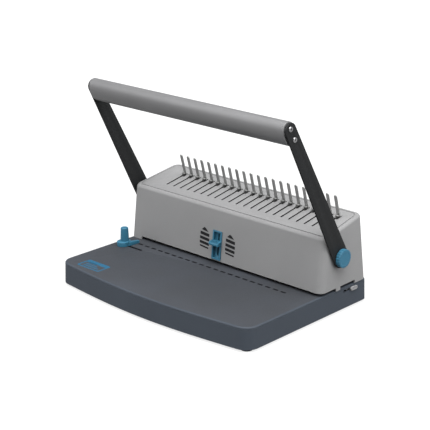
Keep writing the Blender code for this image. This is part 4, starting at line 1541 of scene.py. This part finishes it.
@dataclass
class Opener:
    """The fixed comb of tines and the moving comb of hooks."""

    tine_s: float = 63.5 * MM
    tine_thickness: float = 1.5 * MM
    tine_half: float = 2.6 * MM
    tine_offset: float = 1.0 * MM
    tine_lean: float = math.radians(5.0)
    tine_height: float = 35.0 * MM
    tine_web: tuple[float, float] = (-14.0 * MM, -5.0 * MM)
    web_half: float = 165.7 * MM
    hook_s: tuple[float, float] = (58.5 * MM, 61.5 * MM)
    hook_web: tuple[float, float] = (-11.0 * MM, -4.0 * MM)
    hook_half: float = 0.7 * MM
    tip_x: float = 4.6 * MM
    tip_n: tuple[float, float] = (3.2 * MM, 4.8 * MM)
    tab_x: float = 154.0 * MM
    tab_front: float = 32.7 * MM
    tab_n: tuple[float, float] = (-20.0 * MM, -4.3 * MM)
    way_s: tuple[float, float] = (35.56 * MM, 41.86 * MM)
    way_n: tuple[float, float] = (-17.6 * MM, -6.4 * MM)

    def tines(self) -> Piece:
        """Models the fixed comb: round-ended tines that stand on one web and lean forwards.

        Returns:
            The comb.
        """
        half = self.tine_thickness / 2
        low = (self.tine_offset - self.tine_half, -half, self.tine_web[0] + 1 * MM)
        tine = block("tine_row", low, (self.tine_offset + self.tine_half, half, self.tine_height))
        round_edges(tine, self.tine_half * 0.97, 8, lambda edge: along(edge, 1) and middle(edge).z > 0)
        round_edges(tine, 0.3 * MM, 2, lambda edge: is_corner(edge) and not along(edge, 1))
        tines = row_of(tine, TINE_XS)
        web_low = (-self.web_half, -half, self.tine_web[0])
        web = block("web", web_low, (self.web_half, half, self.tine_web[1]))
        combine(tines, web, Join.WELD)
        foot = Matrix.Translation((0.0, self.tine_s + half, 0.0)) @ Matrix.Rotation(self.tine_lean, 4, "X")
        return place(tines, ON_TOP @ foot)

    def hooks(self) -> Piece:
        """Models the moving comb: short hooks on a web, and a slotted tab at each end.

        Returns:
            The comb.
        """
        front, rear = self.hook_s
        leg_low = (-self.hook_half, front, self.hook_web[0] + 1 * MM)
        leg = block("hook_row", leg_low, (self.hook_half, rear, self.tip_n[1]))
        tip = (self.tip_x - self.hook_half, 0.0, 0.0)
        with editing(leg):
            bpy.ops.mesh.select_all(action="SELECT")
            bpy.ops.mesh.bisect(plane_co=(0.0, 0.0, self.tip_n[0]), plane_no=(0.0, 0.0, 1.0))
            pick(leg, Part.FACE, lambda face: face.normal.x > MOSTLY and middle(face).z > self.tip_n[0])
            bpy.ops.mesh.extrude_region_move(TRANSFORM_OT_translate={"value": tip})
        soften(leg, 0.25 * MM)
        hooks = row_of(leg, TINE_XS)
        low = (TINE_XS[0] - 16.4 * MM, front, self.hook_web[0])
        combine(hooks, block("web", low, (TINE_XS[-1] + 5.4 * MM, rear, self.hook_web[1])), Join.WELD)
        for side in (-1.0, 1.0):
            combine(hooks, self.crank_tab(side * self.tab_x), Join.WELD)
        return place(hooks, ON_TOP)

    def crank_tab(self, x: float) -> Piece:
        """Models the tab that a crank's pin pushes, with the pin's slot in it.

        Args:
            x: X of the tab's middle.

        Returns:
            The tab, in the slope's own directions.
        """
        tab_high = (x + 1 * MM, self.hook_s[0] + 2 * MM, self.tab_n[1])
        tab = block("tab", (x - 1 * MM, self.tab_front, self.tab_n[0]), tab_high)
        way_high = (x + PAST, self.way_s[1], self.way_n[1])
        way = block("way", (x - PAST, self.way_s[0], self.way_n[0]), way_high)
        return combine(tab, way, Join.CARVE)

    def build(self) -> None:
        """Models and dresses both combs."""
        dress(self.tines(), COMB_STEEL, "machine", "tine_comb")
        dress(self.hooks(), COMB_STEEL, "opener", "hook_comb")


# ---------------------------------------------------------------- punch


@dataclass
class Punch:
    """What works inside the cover: most of it is the CAD's own, and the springs are wound here."""

    spring_r: float = 5.2 * MM
    wire_r: float = 0.6 * MM
    turns: int = 6
    guide_z: float = 44.2 * MM
    ear_z: float = 67.0 * MM
    stroke: float = 8.8 * MM

    def spring(self, name: str, x: float, y: float) -> Piece:
        """Winds a compression spring round a guide post.

        Args:
            name: The piece's name.
            x: X of the post.
            y: Y of the post.

        Returns:
            The spring.
        """
        low = self.guide_z + GAP + self.wire_r
        high = self.ear_z - GAP - self.wire_r
        bpy.ops.mesh.primitive_circle_add(
            vertices=10,
            radius=self.wire_r,
            location=(self.spring_r, 0.0, low),
            rotation=(math.pi / 2, 0.0, 0.0),
        )
        spring = settle(bpy.context.active_object, name)
        screw = spring.modifiers.new("wind", "SCREW")
        screw.steps = 28
        screw.render_steps = 28
        screw.iterations = self.turns
        screw.screw_offset = (high - low) / self.turns
        bpy.ops.object.modifier_apply(modifier=screw.name)
        with editing(spring):
            bpy.ops.mesh.select_mode(type="EDGE")
            bpy.ops.mesh.select_all(action="DESELECT")
            bpy.ops.mesh.select_non_manifold()
            bpy.ops.mesh.edge_face_add()
        turn_outwards(spring)
        return place(spring, Matrix.Translation((x, y, 0.0)))

    def build(self) -> None:
        """Winds the springs and dresses the CAD's punch, shaft and frames."""
        for side in ("left", "right"):
            node = f"{side}_return_spring"
            low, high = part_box(node)
            spring = self.spring(f"{side}_coil_spring", (low.x + high.x) / 2, (low.y + high.y) / 2)
            dress(spring, BRIGHT_STEEL, "machine", node, angle=60.0)
            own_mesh(spring)
            for part in ("cam", "opener_crank", "side_frame"):
                dress_node(f"{side}_{part}", DARK_STEEL)
            dress_node(f"{side}_shaft_bush", BUSH_BRONZE)
        for name in ("punch_guide", "punch_beam", "depth_stop"):
            dress_node(name, DARK_STEEL)
        pins = [f"punch_pin_{k + 1:02d}" for k in range(len(PUNCH_XS))]
        for name in ("die_plate", "main_shaft", *pins):
            dress_node(name, BRIGHT_STEEL)


# ---------------------------------------------------------------- handle


@dataclass
class Handle:
    """Two flat arms, the extruded grip across them, its screws and the pivot caps."""

    arm_x: float = 189.9 * MM
    arm_thickness: float = 2.6 * MM
    toe_in: float = math.radians(1.05)
    pivot_r: float = 14.9 * MM
    bore_r: float = 6.3 * MM
    end_u: float = 228.6 * MM
    end_r: float = 10.2 * MM
    screw_us: tuple[float, float] = (213.1 * MM, 230.8 * MM)
    screw_r: float = 3.8 * MM
    screw_height: float = 1.4 * MM
    screw_hole_r: float = 2.2 * MM
    shank_r: float = 1.7 * MM
    shank_length: float = 14.0 * MM
    grip_half: float = 184.7 * MM
    grip_a: float = 18.6 * MM
    grip_b: float = 12.5 * MM
    grip_wall: float = 2.4 * MM
    socket_depth: float = 14.0 * MM
    cap_r: float = 13.2 * MM
    cap_x: tuple[float, float] = (192.8 * MM, 199.0 * MM)
    flutes: int = 20
    flute_r: float = 1.1 * MM
    dish_rim: float = 3.2 * MM
    dish_slope: float = 0.5 * MM
    dish_depth: float = 0.25 * MM
    cap_wall: float = 2.4 * MM
    hollow_depth: float = 3.6 * MM

    def forward(self) -> Vector:
        """Gives the direction square to the arms, in the plane that they swing in."""
        return Vector((0.0, ARM_AXIS.z, -ARM_AXIS.y))

    def turn(self) -> Matrix:
        """Makes the turn that lays local X across the arms, Y along them and Z along the grip."""
        forward = self.forward()
        return Matrix((forward, ARM_AXIS, forward.cross(ARM_AXIS))).transposed().to_4x4()

    def arm_matrix(self) -> Matrix:
        """Makes the right arm's matrix: local X across it, Y up it and Z out of its flat."""
        at = PIVOT + Vector((self.arm_x + self.arm_thickness / 2, 0.0, 0.0))
        return Matrix.Translation(at) @ Matrix.Rotation(-self.toe_in, 4, self.forward()) @ self.turn()

    def arm(self, name: str) -> Piece:
        """Models the right arm: a strip with round ends and softened edges.

        Args:
            name: The piece's name.

        Returns:
            The arm.
        """
        arm = drum(name, self.pivot_r, -self.arm_thickness / 2, self.arm_thickness / 2, 64)
        with editing(arm):
            pick(arm, Part.VERT, lambda vert: vert.co.y > TOUCH)
            bpy.ops.transform.translate(value=(0.0, self.end_u, 0.0))
            shrink = self.end_r / self.pivot_r
            bpy.ops.transform.resize(value=(shrink, shrink, 1.0), center_override=(0.0, self.end_u, 0.0))
        combine(arm, drum("bore", self.bore_r, -PAST, PAST, 40), Join.CARVE)
        for u in self.screw_us:
            hole = drum("hole", self.screw_hole_r, -PAST, PAST, 24)
            combine(arm, place(hole, Matrix.Translation((0.0, u, 0.0))), Join.CARVE)
        soften(arm, 0.45 * MM, 3)
        return place(arm, self.arm_matrix())

    def grip(self) -> Piece:
        """Models the extruded grip: an oval bar with softened ends and hollow sockets in them.

        Returns:
            The grip.
        """
        grip = drum("grip_extrusion", 1.0, -self.grip_half, self.grip_half, 80)
        grip.scale = (self.grip_b, self.grip_a, 1.0)
        settle(grip, grip.name)
        round_edges(grip, 0.5 * MM, 3, lambda edge: borders(edge, lambda face: abs(face.normal.z) > FLAT))
        with editing(grip):
            for side in (-1.0, 1.0):
                pick(grip, Part.FACE, lambda face: face.normal.z * side > FLAT)
                bpy.ops.mesh.inset(thickness=self.grip_wall, depth=0.0)
                inwards = (0.0, 0.0, -side * self.socket_depth)
                bpy.ops.mesh.extrude_region_move(TRANSFORM_OT_translate={"value": inwards})
        return place(grip, Matrix.Translation(PIVOT + ARM_AXIS * GRIP_U) @ self.turn())

    def cap(self, name: str) -> Piece:
        """Models the right pivot cap: a hollow knob with flutes round it and a dished face.

        Args:
            name: The piece's name.

        Returns:
            The cap.
        """
        low, high = self.cap_x
        cap = drum(name, self.cap_r, low, high, 80)
        with editing(cap):
            pick(cap, Part.FACE, lambda face: face.normal.z > MOSTLY)
            bpy.ops.mesh.inset(thickness=self.dish_rim, depth=0.0)
            bpy.ops.mesh.inset(thickness=self.dish_slope, depth=0.0)
            bpy.ops.transform.translate(value=(0.0, 0.0, -self.dish_depth))
        flute = drum("flute", self.flute_r, low - PAST, high + PAST, 16)
        place(flute, Matrix.Translation((self.cap_r + self.flute_r * 0.45, 0.0, 0.0)))
        turns = [Matrix.Rotation(2 * math.pi * k / self.flutes, 4, "Z") for k in range(self.flutes)]
        flutes = [place(copied(flute, f"flute_{k}"), turn) for k, turn in enumerate(turns)]
        bpy.data.objects.remove(flute, do_unlink=True)
        combine(cap, merged("flutes", flutes), Join.CARVE)
        hollow = drum("hollow", self.cap_r - self.cap_wall, low - PAST, low + self.hollow_depth, 48)
        combine(cap, hollow, Join.CARVE)
        round_edges(cap, 0.3 * MM, 2, lambda edge: at_height(edge, high) and is_corner(edge))
        return place(cap, facing(PIVOT, (1.0, 0.0, 0.0)))

    def build(self) -> None:
        """Models and dresses the handle."""
        right_arm = self.arm("right_arm_strip")
        left_arm = mirrored(right_arm, "left_arm_strip")
        dress(right_arm, ARM_BLACK, "handle", "right_arm")
        dress(left_arm, ARM_BLACK, "handle", "left_arm")
        dress(self.grip(), GRIP_METAL, "handle", "grip_bar")
        right_cap = self.cap("right_fluted_cap")
        left_cap = mirrored(right_cap, "left_fluted_cap")
        dress(right_cap, CONTROL_BLUE, "handle", "right_pivot_cap", angle=25.0)
        dress(left_cap, CONTROL_BLUE, "handle", "left_pivot_cap", angle=25.0)
        outwards = self.arm_matrix().to_3x3() @ Vector((0.0, 0.0, 1.0))
        for height, u in zip(("lower", "upper"), self.screw_us):
            seat = self.arm_matrix() @ Vector((0.0, u, self.arm_thickness / 2))
            name = f"right_{height}_cross_screw"
            right = pan_head_screw(name, self.screw_r, self.screw_height, self.shank_r, self.shank_length)
            place(right, facing(seat, outwards))
            left = mirrored(right, f"left_{height}_cross_screw")
            dress(right, BRIGHT_STEEL, "handle", f"right_{height}_grip_screw")
            dress(left, BRIGHT_STEEL, "handle", f"left_{height}_grip_screw")


# ---------------------------------------------------------------- controls


@dataclass
class EdgeGuide:
    """The blue knob on its foot, whose fence the sheets are pushed against."""

    x: float = -166.0 * MM
    y: float = -8.0 * MM
    foot_height: float = 7.0 * MM
    foot_r: float = 9.0 * MM
    foot_run: float = 4.0 * MM
    knob_r: tuple[float, float] = (6.9 * MM, 5.8 * MM)
    knob_height: float = 28.0 * MM
    fence_x: tuple[float, float] = (-162.5 * MM, -155.5 * MM)
    fence_y: float = 13.0 * MM
    fence_slope: float = 2.6 * MM
    stem_r: float = 1.7 * MM

    def build(self) -> None:
        """Models the guide and dresses it and its clip."""
        base = DECK_Z + GAP
        top = base + self.foot_height
        low = (self.x - self.foot_r, self.y - self.foot_run - self.foot_r, base)
        foot = block("edge_guide_knob", low, (self.x + self.foot_r, self.y + self.foot_r, top))
        round_edges(foot, self.foot_r * ROUND_END, 10, lambda edge: along(edge, 2))
        fence_top = top - 0.5 * MM
        near_x, far_x = self.fence_x
        fence = block("fence", (near_x, self.y, base), (far_x, self.fence_y, fence_top))
        down = (0.0, 0.0, -self.fence_slope)
        inwards = (self.fence_slope, 0.0, 0.0)
        with editing(fence):
            move_points(fence, lambda vert: vert.co.y > 0 and vert.co.z > fence_top - TOUCH, down)
            move_points(fence, lambda vert: vert.co.y > 0 and vert.co.x < near_x + TOUCH, inwards)
        combine(foot, fence, Join.WELD)
        round_edges(foot, 0.9 * MM, 3, lambda edge: is_corner(edge) and middle(edge).z > base + 3 * MM)
        knob = drum("knob", self.knob_r[0], base + 1 * MM, base + self.knob_height, 48, self.knob_r[1])
        round_edges(knob, 1.4 * MM, 5, lambda edge: not along(edge, 2) and middle(edge).z > top)
        stem = drum("stem", self.stem_r, 30 * MM, base + 1 * MM, 20)
        for part in (knob, stem):
            place(part, Matrix.Translation((self.x, self.y, 0.0)))
            combine(foot, part, Join.WELD)
        dress(foot, CONTROL_BLUE, "edge_stop", "edge_guide")
        dress_node("edge_guide_clip", SELECTOR_GREY)


@dataclass
class SizeSlider:
    """The comb size control: a blue channel in the front wall, its thumb tab and printed bars."""

    half: float = 9.0 * MM
    channel_half: float = 7.7 * MM
    reach: float = 22.0 * MM
    channel_reach: float = 20.7 * MM
    lip: float = 1.4 * MM
    depth: float = 4.0 * MM
    wall: float = 1.2 * MM
    slot_half: float = 1.3 * MM
    tab_y: tuple[float, float] = (-0.5 * MM, 7.5 * MM)
    tab_z: tuple[float, float] = (1.9 * MM, 9.6 * MM)
    bar_sizes: tuple[tuple[float, float], ...] = (
        (7.0 * MM, 4.8 * MM),
        (9.0 * MM, 4.6 * MM),
        (9.4 * MM, 4.4 * MM),
        (9.4 * MM, 4.2 * MM),
        (8.6 * MM, 2.4 * MM),
    )
    bar_gap: float = 2.5 * MM
    bar_slant: float = 1.6 * MM
    bar_offset: float = 25.5 * MM
    bar_top_z: float = 86.0 * MM
    ink: float = 0.06 * MM

    def channel(self) -> Piece:
        """Models the channel: a rounded frame on the wall, a well behind it and the tab's slot.

        Returns:
            The channel.
        """
        bezel = block("slider_channel", (-self.half, -self.reach, GAP), (self.half, self.reach, self.lip))
        round_edges(bezel, 1.4 * MM, 4, lambda edge: along(edge, 2))
        well_low = (-self.channel_half, -self.channel_reach, -self.depth)
        well_high = (self.channel_half, self.channel_reach, 1 * MM)
        combine(bezel, block("well", well_low, well_high), Join.WELD)
        half = self.channel_half - self.wall
        reach = self.channel_reach - self.wall
        recess = block("recess", (-half, -reach, self.wall - self.depth), (half, reach, 10 * MM))
        round_edges(recess, 0.8 * MM, 3, lambda edge: along(edge, 2))
        combine(bezel, recess, Join.CARVE)
        slot_reach = reach - 3 * MM
        slot = block("slot", (-self.slot_half, -slot_reach, -10 * MM), (self.slot_half, slot_reach, 0.0))
        round_edges(slot, 1.2 * MM, 3, lambda edge: along(edge, 2))
        combine(bezel, slot, Join.CARVE)
        soften(bezel, 0.25 * MM)
        return place(bezel, front_wall(SLIDER_Z))

    def tab(self) -> Piece:
        """Models the thumb tab: a wide wedge with a rounded nose, on a shoe in the channel.

        Returns:
            The tab.
        """
        low, high = self.tab_y
        near, far = self.tab_z
        tab = block("size_thumb_tab", (-self.half, low, near), (self.half, high, far))
        with editing(tab):
            for y, shift in ((high, -3.0 * MM), (low, 0.8 * MM)):
                nose = (0.0, shift, 0.0)
                move_points(tab, lambda vert: vert.co.z > far - TOUCH and abs(vert.co.y - y) < TOUCH, nose)
        round_edges(tab, 1.6 * MM, 4, lambda edge: middle(edge).z > far - TOUCH)
        round_edges(tab, 0.5 * MM, 2, lambda edge: is_corner(edge) and middle(edge).z < far - 2 * MM)
        shoe_half = self.channel_half - self.wall - GAP
        shoe_low = self.wall - self.depth + GAP
        shoe = block("shoe", (-shoe_half, low + 0.5 * MM, shoe_low), (shoe_half, high - 0.5 * MM, 3 * MM))
        combine(tab, shoe, Join.WELD)
        neck_half = self.slot_half - GAP
        neck = block("neck", (-neck_half, low + 1 * MM, -5.6 * MM), (neck_half, high - 1 * MM, 0.0))
        combine(tab, neck, Join.WELD)
        keeper = block("keeper", (-5 * MM, low, -6.2 * MM), (5 * MM, high, -self.depth - GAP))
        combine(tab, keeper, Join.WELD)
        for k in range(3):
            z = near + 2.0 * MM + 1.9 * MM * k
            rib_high = (6.5 * MM, high + 0.25 * MM - 0.8 * MM * k, z + 0.8 * MM)
            combine(tab, block("rib", (-6.5 * MM, high - 3.0 * MM, z), rib_high), Join.WELD)
        return place(tab, front_wall(SLIDER_Z))

    def bars(self, name: str, x: float, z: float) -> Piece:
        """Models one printed stack of bars, thick at the top and thinner below.

        Args:
            name: The piece's name.
            x: X of its middle.
            z: Height of its top bar.

        Returns:
            The stack.
        """
        made = []
        y = 0.0
        for k, (half, height) in enumerate(self.bar_sizes):
            bar = block(f"{name}_{k}", (-half, y - height, 0.0), (half, y, self.ink))
            with editing(bar):
                move_points(bar, lambda vert: vert.co.x > 0, (0.0, -self.bar_slant, 0.0))
                if k == 0:
                    pick(bar, Part.FACE, lambda face: face.normal.y > MOSTLY)
                    bpy.ops.transform.resize(value=(0.25, 1.0, 1.0), center_override=(0.0, y, 0.0))
            round_edges(bar, 0.7 * MM, 3, lambda edge: along(edge, 2))
            made.append(bar)
            y -= height + self.bar_gap
        bars = merged(name, made)
        return place(bars, Matrix.Translation((x - SLIDER_X, 0.0, 0.0)) @ front_wall(z))

    def build(self) -> None:
        """Models and dresses the slider."""
        dress(self.channel(), CONTROL_BLUE, "machine", "slider_bezel")
        dress(self.tab(), CONTROL_BLUE, "comb_size", "comb_size_slider")
        for side, sign in (("left", -1.0), ("right", 1.0)):
            bars = self.bars(f"{side}_size_bars", SLIDER_X + sign * self.bar_offset, self.bar_top_z)
            dress(bars, BLACK_INK, "machine")


@dataclass
class MarginSelector:
    """The grey button on the right side that sets the depth of the paper stop."""

    button_y: tuple[float, float] = (95.6 * MM, 110.4 * MM)
    z: float = 29.3 * MM
    radius: float = 2.9 * MM
    neck_half: float = 1.5 * MM
    wall_x: float = 186.7 * MM
    inside_x: float = 183.0 * MM

    def is_rim(self, edge: Edge) -> bool:
        """Says whether an edge runs round the button's outer face."""
        return is_corner(edge) and borders(edge, self.looks_out)

    def looks_out(self, face: Face) -> bool:
        """Says whether a face looks straight out of the machine's right side."""
        return face.normal.x > FLAT

    def build(self) -> None:
        """Models and dresses the button with its dished face."""
        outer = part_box("margin_selector")[1].x
        low_y, high_y = self.button_y
        low = (self.wall_x + GAP, low_y, self.z - self.radius)
        button = block("margin_button", low, (outer, high_y, self.z + self.radius))
        round_edges(button, self.radius * 0.97, 8, lambda edge: along(edge, 0))
        round_edges(button, 0.7 * MM, 3, self.is_rim)
        with editing(button):
            pick(button, Part.FACE, self.looks_out)
            bpy.ops.mesh.inset(thickness=0.9 * MM, depth=0.0)
            bpy.ops.mesh.inset(thickness=0.4 * MM, depth=-0.4 * MM)
        neck_low = (self.inside_x - 1.5 * MM, low_y + 1.4 * MM, self.z - self.neck_half)
        neck_high = (self.wall_x + 1.5 * MM, high_y - 1.4 * MM, self.z + self.neck_half)
        combine(button, block("neck", neck_low, neck_high), Join.WELD)
        keeper_low = (self.inside_x - 2.2 * MM, low_y - 3.6 * MM, self.z - self.radius)
        keeper_high = (self.inside_x, high_y + 1.6 * MM, self.z + self.radius)
        combine(button, block("keeper", keeper_low, keeper_high), Join.WELD)
        dress(button, SELECTOR_GREY, "margin", "margin_selector")


# ---------------------------------------------------------------- studio


@dataclass
class Studio:
    """The pale floor, the soft light and the camera."""

    camera_at: tuple[float, float, float] = (1.2037, -1.2647, 0.7134)
    target: tuple[float, float, float] = (0.03559, -0.002, 0.13122)
    lens: float = 107.95
    shift: tuple[float, float] = (-0.0217, -0.0035)

    def floor(self) -> None:
        """Lays the paper that the machine stands on."""
        bpy.ops.mesh.primitive_plane_add(size=60.0)
        floor = settle(bpy.context.active_object, "studio_floor")
        floor.data.materials.append(PAPER.material())

    def sun(self, name: str, strength: float, azimuth: float, height: float, width: float) -> None:
        """Adds one large soft light, far away.

        Args:
            name: The light's name.
            strength: Its strength.
            azimuth: Where it stands, in degrees from the machine's front towards its right.
            height: Its height over the horizon, in degrees.
            width: How wide it looks, in degrees.
        """
        light = bpy.data.lights.new(name, "SUN")
        light.energy = strength
        light.angle = math.radians(width)
        lamp = bpy.data.objects.new(name, light)
        a, h = math.radians(azimuth), math.radians(height)
        back = Vector((math.sin(a) * math.cos(h), -math.cos(a) * math.cos(h), math.sin(h)))
        lamp.rotation_euler = back.to_track_quat("Z", "Y").to_euler()
        bpy.context.scene.collection.objects.link(lamp)

    def light(self) -> None:
        """Sets the soft surroundings and the lights."""
        world = bpy.data.worlds.new("soft_room")
        world.use_nodes = True
        background = world.node_tree.nodes["Background"]
        background.inputs["Color"].default_value = (0.97, 0.985, 1.0, 1.0)
        background.inputs["Strength"].default_value = 0.3
        bpy.context.scene.world = world
        self.sun("overhead_softbox", 6.4, 40.0, 72.0, 60.0)
        self.sun("left_softbox", 1.3, -38.0, 24.0, 50.0)
        self.sun("right_softbox", 1.9, 108.0, 24.0, 50.0)
        bpy.context.scene.view_settings.view_transform = "Standard"

    def camera(self) -> None:
        """Stands the camera."""
        data = bpy.data.cameras.new("camera")
        data.lens = self.lens
        data.sensor_width = 36.0
        data.shift_x, data.shift_y = self.shift
        data.clip_start = 0.05
        data.clip_end = 100.0
        camera = bpy.data.objects.new("camera", data)
        camera.location = self.camera_at
        sight = Vector(self.target) - Vector(self.camera_at)
        camera.rotation_euler = sight.to_track_quat("-Z", "Y").to_euler()
        bpy.context.scene.collection.objects.link(camera)
        bpy.context.scene.camera = camera

    def build(self) -> None:
        """Sets up the whole studio."""
        self.floor()
        self.light()
        self.camera()


def main() -> None:
    """Builds the machine's looks piece by piece, and the studio round it."""
    logging.basicConfig(level=logging.INFO, format="%(message)s")
    body = (Base(), ChipTray(), Cover(), Opener(), Punch(), Handle())
    controls = (EdgeGuide(), SizeSlider(), MarginSelector())
    for assembly in body + controls:
        log.info("-- %s", type(assembly).__name__)
        assembly.build()
    Studio().build()


if __name__ == "__main__":
    main()
